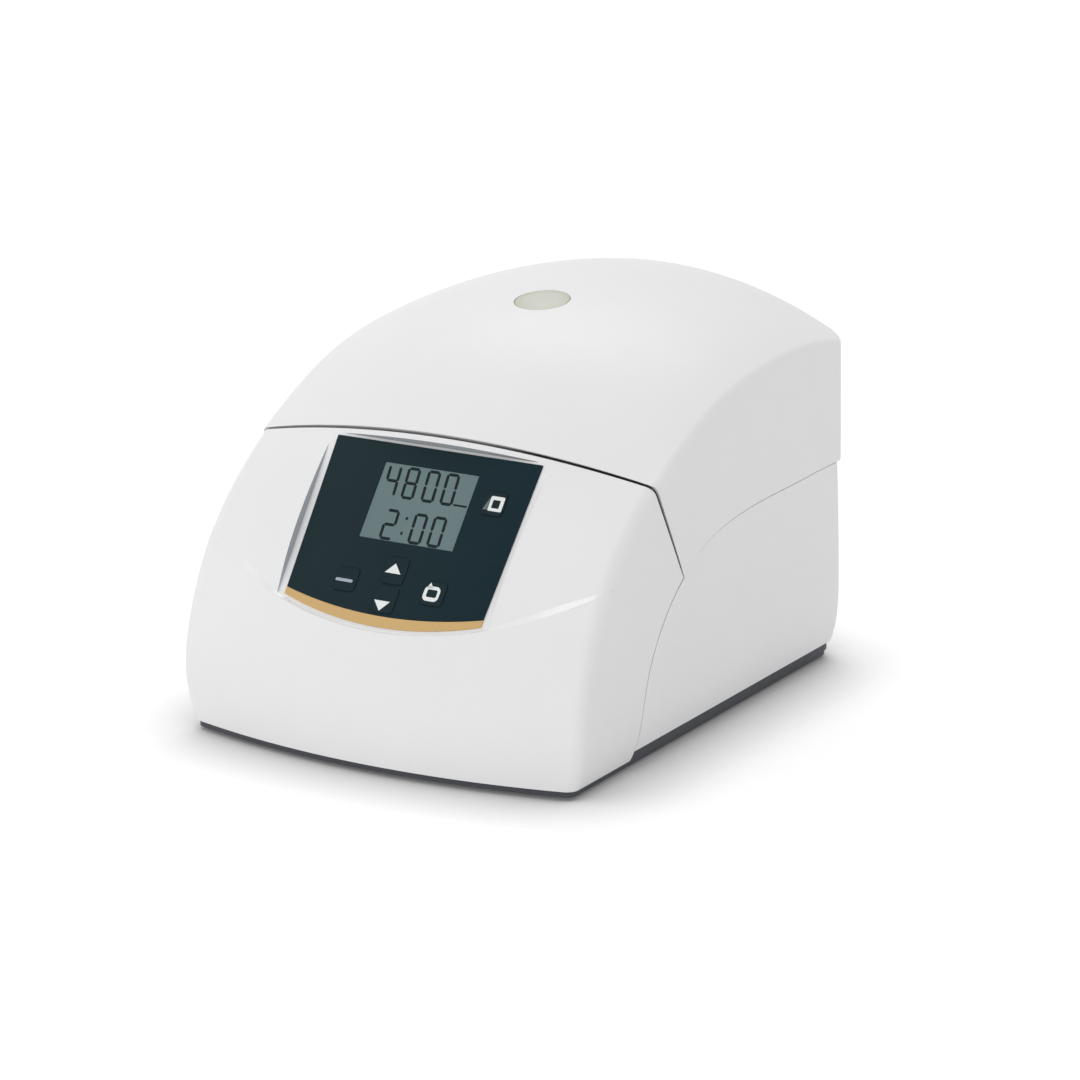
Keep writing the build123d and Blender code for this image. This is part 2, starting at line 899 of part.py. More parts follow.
with BuildPart() as rubber_feet:
    with BuildSketch():
        with Locations(*foot_places):
            Circle(foot_radius)
    extrude(amount=pan_low)
    with BuildSketch(Plane.XY.offset(pan_low)):
        with Locations(*foot_places):
            Circle(foot_stem_radius)
    extrude(amount=pan_high - pan_low)
keep(rubber_feet, "rubber_feet")

with BuildPart() as deck_posts:
    with BuildSketch(Plane.XY.offset(pan_high)):
        with Locations(*post_places):
            Circle(post_radius)
            Circle(screw_radius + screw_fit, mode=Mode.SUBTRACT)
    extrude(amount=deck_z - deck_wall - fit_clearance - pan_high)
keep(deck_posts, "deck_posts")

with BuildPart() as base_screws:
    with BuildSketch(Plane.XY.offset(pan_low + fit_clearance)):
        with Locations(*post_places):
            Circle(screw_head_radius)
    extrude(amount=screw_head_height)
    with BuildSketch(Plane.XY.offset(pan_low + fit_clearance + screw_head_height)):
        with Locations(*post_places):
            Circle(screw_radius)
    extrude(amount=screw_reach)
keep(base_screws, "base_screws")

# Deck under the lid: level top, step down behind, and a skirt inside the housing
deck_outline = [
    (deck_front_y, deck_z),
    (deck_rear_y, deck_z),
    (deck_rear_y, shelf_z),
    (deck_rear_reach, shelf_z),
    (deck_rear_reach, deck_skirt[-1][1]),
    deck_skirt[-2],
    deck_skirt[1],
    deck_skirt[0],
    (deck_front_y, deck_z),
]
deck_inside = [
    (deck_front_y - deck_wall, deck_z - deck_wall),
    (deck_rear_y - deck_wall, deck_z - deck_wall),
    (deck_rear_y - deck_wall, shelf_z - deck_wall),
    (deck_rear_reach + deck_wall, shelf_z - deck_wall),
    (deck_rear_reach + deck_wall, 0),
    (deck_front_y - deck_wall, 0),
    (deck_front_y - deck_wall, deck_z - deck_wall),
]
bowl_outer = bowl_radius + bowl_wall
flange_radius = bowl_outer + bowl_flange
with BuildPart() as deck_hollow:
    add(envelope(deck_inset + deck_wall, side_stations))
    add(side_block([deck_inside]), mode=Mode.INTERSECT)
with BuildPart() as chamber_deck:
    add(envelope(deck_inset, side_stations))
    add(side_block([deck_outline]), mode=Mode.INTERSECT)
    add(deck_hollow.part, mode=Mode.SUBTRACT)
    add(column(bowl_outer + fit_clearance, shelf_z, deck_z + cut_margin, 0, rotor_y), mode=Mode.SUBTRACT)
    for x, y in post_places:
        add(column(screw_radius + screw_fit, shelf_z, deck_z + cut_margin, x, y), mode=Mode.SUBTRACT)
keep(chamber_deck, "chamber_deck")

with BuildPart() as deck_screws:
    with BuildSketch(Plane.XY.offset(deck_z)):
        with Locations(*post_places):
            Circle(screw_head_radius)
    extrude(amount=screw_head_height)
    chamfer(deck_screws.faces().sort_by(Axis.Z)[-len(post_places) :].edges(), screw_head_chamfer)
    with BuildSketch(Plane.XY.offset(deck_z)):
        with Locations(*post_places):
            Circle(screw_radius)
    extrude(amount=-screw_reach)
keep(deck_screws, "deck_screws")

# Chamber bowl: a spun sheet cup hung by its flange
with BuildPart() as rotor_chamber:
    with BuildSketch(rotor_plane):
        with BuildLine():
            Polyline(
                (flange_radius, deck_z),
                (flange_radius, deck_z + bowl_wall),
                (bowl_radius, deck_z + bowl_wall),
                (bowl_radius, bowl_floor_z + bowl_wall + bowl_bend),
            )
            Line((bowl_radius - bowl_bend, bowl_floor_z + bowl_wall), (bowl_hole, bowl_floor_z + bowl_wall))
            RadiusArc(
                (bowl_radius, bowl_floor_z + bowl_wall + bowl_bend),
                (bowl_radius - bowl_bend, bowl_floor_z + bowl_wall),
                bowl_bend,
            )
            Polyline(
                (bowl_hole, bowl_floor_z + bowl_wall),
                (bowl_hole, bowl_floor_z),
                (bowl_radius - bowl_bend, bowl_floor_z),
            )
            RadiusArc(
                (bowl_outer, bowl_floor_z + bowl_wall + bowl_bend),
                (bowl_radius - bowl_bend, bowl_floor_z),
                bowl_bend + bowl_wall,
            )
            Polyline(
                (bowl_outer, bowl_floor_z + bowl_wall + bowl_bend),
                (bowl_outer, deck_z),
                (flange_radius, deck_z),
            )
        make_face()
    revolve(axis=rotor_axis)
keep(rotor_chamber, "rotor_chamber")

guard_inner = bowl_outer + guard_clearance
guard_outer = guard_inner + guard_wall
with BuildPart() as guard_ring:
    with BuildSketch(Plane.XY.offset(pan_high)):
        with Locations((0, rotor_y)):
            Circle(guard_outer)
            Circle(guard_inner, mode=Mode.SUBTRACT)
    extrude(amount=deck_z - deck_wall - fit_clearance - pan_high)
    with BuildSketch(Plane.XY.offset(pan_high)):
        with Locations((0, rotor_y - guard_outer)):
            Rectangle(guard_wire_slot, 2 * guard_wire_slot)
    extrude(amount=guard_wire_height, mode=Mode.SUBTRACT)
keep(guard_ring, "guard_ring")

# Motor on three rubber mounts
plate_z = pan_high + damper_height
can_z = plate_z + motor_plate_thickness
cap_z = can_z + motor_height
cap_top = cap_z + end_cap_thickness
stator_z = (can_z + cap_z - stator_height) / 2 + stator_lift
with BuildPart() as damper_mounts:
    with BuildSketch(Plane.XY.offset(pan_high)):
        with Locations((0, rotor_y)):
            with PolarLocations(damper_circle, damper_count, 90):
                Circle(damper_radius)
    extrude(amount=damper_height)
    with BuildSketch(Plane.XY.offset(plate_z)):
        with Locations((0, rotor_y)):
            with PolarLocations(damper_circle, damper_count, 90):
                Circle(damper_stud_radius)
    extrude(amount=motor_plate_thickness)
keep(damper_mounts, "damper_mounts")

with BuildPart() as motor_plate:
    with BuildSketch(Plane.XY.offset(plate_z)):
        with Locations((0, rotor_y)):
            Circle(motor_plate_radius)
            with PolarLocations(damper_circle, damper_count, 90):
                Circle(damper_stud_radius + screw_fit, mode=Mode.SUBTRACT)
    extrude(amount=motor_plate_thickness)
keep(motor_plate, "motor_plate")

bearing_seat = bearing_radius + bearing_wall
with BuildPart() as motor_housing:
    add(
        spun(
            [
                (0, can_z),
                (motor_radius, can_z),
                (motor_radius, cap_z),
                (motor_radius - motor_wall, cap_z),
                (motor_radius - motor_wall, can_z + motor_wall),
                (bearing_seat, can_z + motor_wall),
                (bearing_seat, can_z + bearing_lift + bearing_width),
                (bearing_radius + screw_fit, can_z + bearing_lift + bearing_width),
                (bearing_radius + screw_fit, can_z + bearing_lift),
                (0, can_z + bearing_lift),
            ]
        )
    )
keep(motor_housing, "motor_housing")

cap_bearing_z = cap_top - bearing_width
with BuildPart() as motor_end_cap:
    add(
        spun(
            [
                (motor_radius, cap_z),
                (motor_radius, cap_top),
                (bearing_radius + screw_fit, cap_top),
                (bearing_radius + screw_fit, cap_bearing_z),
                (shaft_radius + air_gap, cap_bearing_z),
                (shaft_radius + air_gap, cap_bearing_z - bearing_lift),
                (bearing_seat, cap_bearing_z - bearing_lift),
                (bearing_seat, cap_z),
            ]
        )
    )
keep(motor_end_cap, "motor_end_cap")

with BuildPart() as motor_bearings:
    for low in (can_z + bearing_lift, cap_bearing_z):
        with BuildSketch(Plane.XY.offset(low)):
            with Locations((0, rotor_y)):
                Circle(bearing_radius)
                Circle(shaft_radius + shaft_clearance, mode=Mode.SUBTRACT)
        extrude(amount=bearing_width)
keep(motor_bearings, "motor_bearings")

stator_outer = motor_radius - motor_wall - screw_fit
stator_inner = stator_outer - stator_wall
with BuildPart() as motor_stator:
    with BuildSketch(Plane.XY.offset(stator_z)):
        with Locations((0, rotor_y)):
            Circle(stator_outer)
            Circle(stator_inner, mode=Mode.SUBTRACT)
            with PolarLocations(stator_inner + slot_depth / 2, slot_count):
                Rectangle(slot_depth + 2 * cut_margin, slot_width, mode=Mode.SUBTRACT)
    extrude(amount=stator_height)
keep(motor_stator, "motor_stator")

with BuildPart() as motor_magnets:
    with BuildSketch(Plane.XY.offset(stator_z)):
        with Locations((0, rotor_y)):
            Circle(stator_inner - air_gap)
            Circle(shaft_radius + shaft_clearance, mode=Mode.SUBTRACT)
    extrude(amount=stator_height)
keep(motor_magnets, "motor_magnets")

boot_top = bowl_floor_z + bowl_wall + boot_lip
with BuildPart() as shaft_boot:
    with BuildSketch(Plane.XY.offset(cap_top)):
        with Locations((0, rotor_y)):
            Circle(bowl_hole - fit_clearance)
            Circle(bearing_radius, mode=Mode.SUBTRACT)
    extrude(amount=boot_top - cap_top)
keep(shaft_boot, "shaft_boot")

# Rotor: a dished disc with a ring of slanted bores
lean_sin = sin(radians(tube_lean))
lean_cos = cos(radians(tube_lean))
rotor_low = bowl_floor_z + bowl_wall + rotor_floor_gap
mouth_z = rotor_low + tube_floor + tube_depth * lean_sin + tube_bore / 2 * lean_cos
rim_z = mouth_z + rotor_rim_radius - tube_circle
dish_z = rim_z - (rotor_rim_radius - rotor_dish_radius)
hub_z = dish_z + rotor_hub_rise
nut_z = hub_z + nut_height
shaft_bore = shaft_radius + shaft_clearance
with BuildPart() as rotor:
    add(
        spun(
            [
                (shaft_bore, rotor_low),
                (rotor_foot_radius, rotor_low),
                (rotor_radius, rotor_low + rotor_radius - rotor_foot_radius),
                (rotor_radius, rim_z),
                (rotor_rim_radius, rim_z),
                (rotor_dish_radius, dish_z),
                (rotor_hub_radius, dish_z),
                (rotor_hub_radius, hub_z),
                (shaft_bore, hub_z),
            ]
        )
    )
    for place in range(tube_count):
        turn = 2 * pi * place / tube_count
        mouth = Plane(
            origin=(tube_circle * cos(turn), rotor_y + tube_circle * sin(turn), mouth_z),
            z_dir=(lean_cos * cos(turn), lean_cos * sin(turn), -lean_sin),
        )
        with BuildSketch(mouth.offset(-tube_bore)):
            Circle(tube_bore / 2)
        extrude(amount=tube_depth + tube_bore, mode=Mode.SUBTRACT)
keep(rotor, "rotor")

with BuildPart() as drive_shaft:
    add(column(shaft_radius, can_z + bearing_lift + shaft_end_gap, nut_z - nut_top_wall, 0, rotor_y))
keep(drive_shaft, "drive_shaft")

with BuildPart() as rotor_nut:
    with BuildSketch(Plane.XY.offset(hub_z)):
        with Locations((0, rotor_y)):
            RegularPolygon(nut_radius, 6)
            Circle(shaft_bore, mode=Mode.SUBTRACT)
    extrude(amount=nut_height)
keep(rotor_nut, "rotor_nut")

lid_seat_z = rim_z + fit_clearance
lid_top_z = lid_seat_z + rotor_lid_wall
with BuildPart() as rotor_lid:
    add(column(rotor_lid_radius, lid_seat_z, lid_top_z, 0, rotor_y))
    add(column(lid_stem_radius, nut_z + fit_clearance, lid_top_z, 0, rotor_y))
    fillet(rotor_lid.edges().filter_by(GeomType.CIRCLE).sort_by(Axis.Z)[-1], rotor_lid_wall / 2)
keep(rotor_lid, "rotor_lid")

with BuildPart() as rotor_lid_knob:
    with BuildSketch(Plane.XY.offset(lid_top_z + fit_clearance)):
        with Locations((0, rotor_y)):
            Circle(knob_radius)
            with PolarLocations(knob_radius, knob_lobes):
                Circle(knob_notch, mode=Mode.SUBTRACT)
    extrude(amount=knob_height)
    chamfer(rotor_lid_knob.faces().sort_by(Axis.Z)[-1].edges(), knob_chamfer)
keep(rotor_lid_knob, "rotor_lid_knob")

# Liner under the lid: follows the lid's front edge, then runs level over the chamber
liner_corner = (lid_corner[0] + liner_gap, lid_corner[1] + liner_gap)
liner_far = (front_line_far[0] + liner_gap, front_line_far[1] + liner_gap)
corner_fall = (liner_corner[1] - liner_z) / (lid_corner[1] - seam_junction[1])
liner_bend_y = liner_corner[0] + corner_fall * (seam_junction[0] - lid_corner[0])
liner_line = [liner_far, liner_corner, (liner_bend_y, liner_z), (liner_rear_y, liner_z)]


def above_liner(shift):
    """Everything above the liner's lower face, raised by shift."""
    line = moved(liner_line, shift * liner_slant, shift)
    end_y = liner_rear_y
    return side_block([line[:-1] + [(end_y, line[-1][1]), (end_y, far_top), (line[0][0], far_top), line[0]]])


lid_room = envelope(side_wall + liner_fit, lid_side_stations)
tube_inner = window_radius + fit_clearance
tube_outer = tube_inner + sight_tube_wall
liner_top = liner_z + liner_wall + cut_margin
with BuildPart() as lid_liner:
    add(lid_room)
    add(above_liner(0), mode=Mode.INTERSECT)
    add(above_liner(liner_wall), mode=Mode.SUBTRACT)
    add(column(tube_outer + fit_clearance, deck_z, liner_top, 0, rotor_y), mode=Mode.SUBTRACT)
    for x, y in boss_places:
        add(column(screw_radius + screw_fit, deck_z, liner_top, x, y), mode=Mode.SUBTRACT)
keep(lid_liner, "lid_liner")

with BuildPart() as sight_tube:
    with BuildSketch(Plane.XY.offset(liner_z)):
        with Locations((0, rotor_y)):
            Circle(tube_outer)
            Circle(tube_inner, mode=Mode.SUBTRACT)
    extrude(amount=body_height - liner_z)
    add(lid_room, mode=Mode.INTERSECT)
keep(sight_tube, "sight_tube")

with BuildPart() as lid_window:
    add(column(window_radius, deck_z, far_top, 0, rotor_y))
    add(envelope(lens_sink, lid_side_stations), mode=Mode.INTERSECT)
    add(envelope(lens_sink + lens_thickness, lid_side_stations), mode=Mode.SUBTRACT)
keep(lid_window, "lid_window")

with BuildPart() as sight_glass:
    add(column(window_radius, liner_z, liner_z + lens_thickness, 0, rotor_y))
keep(sight_glass, "sight_glass")

with BuildPart() as chamber_seal:
    with BuildSketch(Plane.XY.offset(deck_z + bowl_wall + fit_clearance)):
        with Locations((0, rotor_y)):
            Circle(seal_radius)
            Circle(seal_radius - seal_width, mode=Mode.SUBTRACT)
    extrude(amount=liner_z - deck_z - bowl_wall - fit_clearance)
keep(chamber_seal, "chamber_seal")

with BuildPart() as lid_bumpers:
    with BuildSketch(Plane.XY.offset(deck_z + fit_clearance)):
        with Locations((-bumper_x, bumper_y), (bumper_x, bumper_y)):
            Circle(bumper_radius)
    extrude(amount=liner_z - deck_z - fit_clearance)
keep(lid_bumpers, "lid_bumpers")

with BuildPart() as lid_screws:
    with BuildSketch(Plane.XY.offset(liner_z - screw_head_height)):
        with Locations(*boss_places):
            Circle(screw_head_radius)
    extrude(amount=screw_head_height)
    chamfer(lid_screws.faces().sort_by(Axis.Z)[: len(boss_places)].edges(), screw_head_chamfer)
    with BuildSketch(Plane.XY.offset(liner_z)):
        with Locations(*boss_places):
            Circle(screw_radius)
    extrude(amount=screw_reach)
keep(lid_screws, "lid_screws")

with BuildPart() as striker_plate:
    with BuildSketch(Plane.YZ):
        with Locations((striker_y, (lock_low + lid_front[1]) / 2)):
            Rectangle(striker_depth, lid_front[1] - lock_low)
    extrude(amount=striker_thickness / 2, both=True)
    split(bisect_by=Plane.XY.offset(striker_eye_z - striker_end), keep=Keep.TOP)
    fillet(striker_plate.faces().sort_by(Axis.Z)[0].edges().filter_by(Axis.X), striker_round)
    with BuildSketch(Plane.YZ):
        with Locations((striker_y, striker_eye_z)):
            RectangleRounded(striker_eye_size, striker_eye_size, striker_eye_corner)
    extrude(amount=striker_thickness, both=True, mode=Mode.SUBTRACT)
    add(above_liner(0), mode=Mode.SUBTRACT)
with BuildPart() as lid_striker:
    with BuildSketch(Plane.XY.offset(liner_z)):
        with Locations((0, striker_y)):
            Rectangle(striker_foot, striker_depth)
    extrude(amount=body_height - liner_z)
    add(above_liner(-striker_thickness), mode=Mode.INTERSECT)
    add(above_liner(0), mode=Mode.SUBTRACT)
    add(striker_plate.part)
keep(lid_striker, "lid_striker")

# Hinges: a forked bracket behind the deck, a pin, and an arm under the lid
arm_half = hinge_arm_width / 2
cheek_inner = arm_half + hinge_side_gap
cheek_outer = cheek_inner + hinge_cheek
arm_low = liner_z + liner_wall
hinge_centres = (-hinge_x, hinge_x)
cheek_mid_z = hinge_z + (hinge_cheek_rise - hinge_cheek_drop) / 2
plate_low_z = shelf_z + hinge_plate_lift
plate_high_z = hinge_z + hinge_cheek_rise
with BuildPart() as hinge_brackets:
    for centre in hinge_centres:
        for low in (centre - cheek_outer, centre + cheek_inner):
            with BuildSketch(Plane.YZ.offset(low)):
                with Locations((hinge_y, hinge_z)):
                    Circle(hinge_boss_radius)
                with Locations(((deck_rear_y + hinge_y) / 2, cheek_mid_z)):
                    Rectangle(hinge_y - deck_rear_y, hinge_cheek_rise + hinge_cheek_drop)
                with Locations((hinge_y, hinge_z)):
                    Circle(hinge_pin_radius + hinge_pin_clearance, mode=Mode.SUBTRACT)
            extrude(amount=hinge_cheek)
        with BuildSketch(Plane.XZ.offset(-deck_rear_y)):
            with Locations((centre, (plate_low_z + plate_high_z) / 2)):
                Rectangle(2 * (cheek_outer + hinge_plate_ear), plate_high_z - plate_low_z)
        extrude(amount=-hinge_cheek)
keep(hinge_brackets, "hinge_brackets")

with BuildPart() as hinge_pins:
    for centre in hinge_centres:
        with BuildSketch(Plane.YZ.offset(centre - cheek_outer - hinge_side_gap)):
            with Locations((hinge_y, hinge_z)):
                Circle(hinge_pin_radius)
        extrude(amount=2 * (cheek_outer + hinge_side_gap))
keep(hinge_pins, "hinge_pins")

arm_mid_z = arm_low + hinge_arm_thickness / 2
for centre, name in zip(hinge_centres, ("hinge_arm_left", "hinge_arm_right")):
    with BuildPart() as hinge_arm:
        with BuildSketch(Plane.YZ.offset(centre - arm_half)):
            with Locations((hinge_y, hinge_z)):
                Circle(hinge_boss_radius)
            with Locations(((liner_rear_y + hinge_y) / 2, arm_mid_z)):
                Rectangle(hinge_y - liner_rear_y - 2 * hinge_arm_gap, hinge_arm_thickness)
            make_hull()
            with Locations((liner_rear_y - hinge_arm_reach / 2 + hinge_arm_gap, arm_mid_z)):
                Rectangle(hinge_arm_reach + 2 * hinge_arm_gap, hinge_arm_thickness)
            with Locations((hinge_y, hinge_z)):
                Circle(hinge_pin_radius + hinge_pin_clearance, mode=Mode.SUBTRACT)
        extrude(amount=hinge_arm_width)
    keep(hinge_arm, name)

# Lid lock: a slotted block, a sliding bolt and the coil that drives it
lock_back_y = rotor_y - guard_outer - fit_clearance
lock_front_y = lock_back_y - lock_depth
with BuildPart() as lock_body:
    add(brick((-lock_half, lock_front_y, lock_low), (lock_half, lock_back_y, lock_high)))
    add(
        brick(
            (-lock_slot / 2, lock_front_y - cut_margin, lock_low + lock_floor),
            (lock_slot / 2, lock_back_y + cut_margin, lock_high + cut_margin),
        ),
        mode=Mode.SUBTRACT,
    )
    with BuildSketch(Plane.YZ):
        with Locations((striker_y, striker_eye_z)):
            Circle(bolt_radius + bolt_clearance)
    extrude(amount=lock_half, both=True, mode=Mode.SUBTRACT)
keep(lock_body, "lock_body")

bolt_tip = lock_slot / 2 + bolt_rest_gap
with BuildPart() as lock_bolt:
    with BuildSketch(Plane.YZ.offset(bolt_tip)):
        with Locations((striker_y, striker_eye_z)):
            Circle(bolt_radius)
    extrude(amount=bolt_length)
    chamfer(lock_bolt.faces().sort_by(Axis.X)[0].edges(), bolt_chamfer)
keep(lock_bolt, "lock_bolt")

with BuildPart() as lock_solenoid:
    with BuildSketch(Plane.YZ.offset(lock_half + fit_clearance)):
        with Locations((striker_y, striker_eye_z)):
            Circle(solenoid_radius)
            Circle(bolt_radius + bolt_clearance, mode=Mode.SUBTRACT)
    extrude(amount=solenoid_length)
keep(lock_solenoid, "lock_solenoid")

# Mains inlet with its fuse drawer, and the rocker switch
inlet_rear = Plane.XZ.offset(-inlet_face_y)
with BuildPart() as mains_inlet:
    with BuildSketch(inlet_rear):
        with Locations((inlet_x, inlet_z)):
            Rectangle(inlet_width - 2 * fit_clearance, inlet_tall - 2 * fit_clearance)
    extrude(amount=inlet_back)
    with BuildSketch(inlet_rear):
        with Locations((inlet_x, socket_z)):
            RectangleRounded(socket_width, socket_tall, socket_corner)
    extrude(amount=socket_depth, mode=Mode.SUBTRACT)
    with BuildSketch(inlet_rear):
        with Locations((inlet_x, drawer_z)):
            Rectangle(drawer_width + 2 * fit_clearance, drawer_tall + 2 * fit_clearance)
    extrude(amount=drawer_length + drawer_stop, mode=Mode.SUBTRACT)
keep(mains_inlet, "mains_inlet")

with BuildPart() as inlet_pins:
    with BuildSketch(Plane.XZ.offset(-inlet_face_y + socket_depth)):
        with Locations(
            (inlet_x - pin_spread, socket_z - pin_rise),
            (inlet_x, socket_z + pin_rise),
            (inlet_x + pin_spread, socket_z - pin_rise),
        ):
            Rectangle(pin_width, pin_tall)
    extrude(amount=pin_recess - socket_depth)
keep(inlet_pins, "inlet_pins")

tray_length = drawer_length - drawer_front - drawer_wall
with BuildPart() as fuse_drawer:
    with BuildSketch(inlet_rear):
        with Locations((inlet_x, drawer_z)):
            Rectangle(drawer_width, drawer_tall)
    extrude(amount=drawer_length)
    with BuildSketch(Plane.XY.offset(drawer_z + drawer_tall / 2)):
        with Locations((inlet_x, inlet_face_y - drawer_front - tray_length / 2)):
            Rectangle(drawer_width - 2 * drawer_wall, tray_length)
    extrude(amount=drawer_wall - drawer_tall, mode=Mode.SUBTRACT)
keep(fuse_drawer, "fuse_drawer")

with BuildPart() as power_switch:
    with BuildSketch(inlet_rear):
        with Locations((switch_x, switch_z)):
            Rectangle(switch_width - 2 * fit_clearance, switch_tall - 2 * fit_clearance)
    extrude(amount=switch_back)
    with BuildSketch(Plane.XY.offset(switch_z - rocker_tall / 2 - fit_clearance)):
        with Locations((switch_x, rocker_pivot_y)):
            Circle(rocker_radius + fit_clearance)
        with Locations((switch_x, rocker_pivot_y + rocker_radius)):
            Rectangle(2 * (rocker_radius + fit_clearance), 2 * rocker_radius)
    extrude(amount=rocker_tall + 2 * fit_clearance, mode=Mode.SUBTRACT)
keep(power_switch, "power_switch")

rocker_plane = Plane(
    origin=(switch_x, rocker_pivot_y, switch_z - rocker_tall / 2),
    x_dir=(cos(radians(rocker_swing)), sin(radians(rocker_swing)), 0),
    z_dir=(0, 0, 1),
)
with BuildPart() as power_rocker:
    with BuildSketch(rocker_plane):
        Circle(rocker_radius)
        with BuildLine():
            Polyline(
                (-rocker_radius, rocker_shoulder),
                (0, rocker_valley),
                (rocker_radius, rocker_shoulder),
                (rocker_radius, 2 * rocker_radius),
                (-rocker_radius, 2 * rocker_radius),
                (-rocker_radius, rocker_shoulder),
            )
        make_face(mode=Mode.SUBTRACT)
    extrude(amount=rocker_tall)
keep(power_rocker, "power_rocker")

# Power board with its parts
board_top = board_low + board_thickness
with BuildPart() as power_board:
    with BuildSketch(Plane.XY.offset(board_low)):
        with Locations((board_x, board_y)):
            Rectangle(board_length, board_depth)
    extrude(amount=board_thickness)
    with BuildSketch(Plane.XY.offset(pan_high)):
        with Locations((board_x, board_y)):
            with GridLocations(board_length - 2 * board_post_inset, board_depth - 2 * board_post_inset, 2, 2):
                Circle(board_post_radius)
    extrude(amount=board_low - pan_high)
keep(power_board, "power_board")

with BuildPart() as transformer:
    with BuildSketch(Plane.XY.offset(board_top)):
        with Locations((transformer_x, board_y)):
            RectangleRounded(transformer_size[0], transformer_size[1], transformer_corner)
    extrude(amount=transformer_size[2])
keep(transformer, "transformer")

with BuildPart() as capacitors:
    with BuildSketch(Plane.XY.offset(board_top)):
        with Locations((capacitor_x, board_y)):
            with GridLocations(0, capacitor_pitch, 1, 2):
                Circle(capacitor_radius)
    extrude(amount=capacitor_height)
keep(capacitors, "capacitors")

with BuildPart() as heat_sink:
    with BuildSketch(Plane.XY.offset(board_top)):
        with Locations((sink_x, board_y)):
            Rectangle(sink_width, board_depth - 2 * sink_inset)
    extrude(amount=sink_base)
    with BuildSketch(Plane.XY.offset(board_top + sink_base)):
        with Locations((sink_x, board_y)):
            with GridLocations((sink_width - sink_fin_wall) / (sink_fins - 1), 0, sink_fins, 1):
                Rectangle(sink_fin_wall, board_depth - 2 * sink_inset)
    extrude(amount=sink_height - sink_base)
keep(heat_sink, "heat_sink")

# Flat cable from the display board down and back to the motor
cable_low = pan_high + cable_floor_gap
with BuildPart() as display_cable:
    with BuildSketch(Plane.YZ):
        with BuildLine():
            Polyline(
                (cable_drop_y, cable_top_z),
                (cable_drop_y, cable_low),
                (rotor_y - motor_plate_radius + cable_overlap, cable_low),
                (rotor_y - motor_plate_radius + cable_overlap, cable_low + cable_thickness),
                (cable_drop_y + cable_thickness, cable_low + cable_thickness),
                (cable_drop_y + cable_thickness, cable_top_z),
                (cable_drop_y, cable_top_z),
            )
        make_face()
    extrude(amount=cable_width / 2, both=True)
keep(display_cable, "display_cable")
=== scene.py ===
import math

import bmesh
import bpy
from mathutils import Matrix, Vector
from mathutils.bvhtree import BVHTree


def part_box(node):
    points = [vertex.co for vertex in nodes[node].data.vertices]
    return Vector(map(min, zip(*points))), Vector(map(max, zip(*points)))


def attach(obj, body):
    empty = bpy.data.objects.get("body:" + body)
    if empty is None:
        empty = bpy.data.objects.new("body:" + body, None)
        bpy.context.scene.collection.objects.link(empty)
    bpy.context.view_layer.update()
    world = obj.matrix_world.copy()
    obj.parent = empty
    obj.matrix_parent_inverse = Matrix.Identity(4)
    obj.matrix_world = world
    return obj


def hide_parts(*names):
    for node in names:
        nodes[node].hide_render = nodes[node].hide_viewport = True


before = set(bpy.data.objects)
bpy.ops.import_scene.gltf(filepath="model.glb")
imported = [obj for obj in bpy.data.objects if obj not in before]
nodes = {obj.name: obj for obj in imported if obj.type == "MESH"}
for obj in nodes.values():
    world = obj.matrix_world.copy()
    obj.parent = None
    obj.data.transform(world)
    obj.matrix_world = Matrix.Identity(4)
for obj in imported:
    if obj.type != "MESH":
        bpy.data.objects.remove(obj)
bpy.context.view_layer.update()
scene = bpy.context.scene
MM = 0.001
ROTOR_Y = 0.031  # the rotor's upright axis, in metres behind the origin

# ---------------------------------------------------------------- colours and materials


def linear(rgb):
    """sRGB bytes to a linear colour."""
    out = []
    for v in rgb:
        v = v / 255
        out.append(v / 12.92 if v <= 0.04045 else ((v + 0.055) / 1.055) ** 2.4)
    return (*out, 1.0)


NOISE_ROUGHNESS = 0.55
NOISE_LOW, NOISE_HIGH = 0.3, 0.7  # most of a noise value lies between these


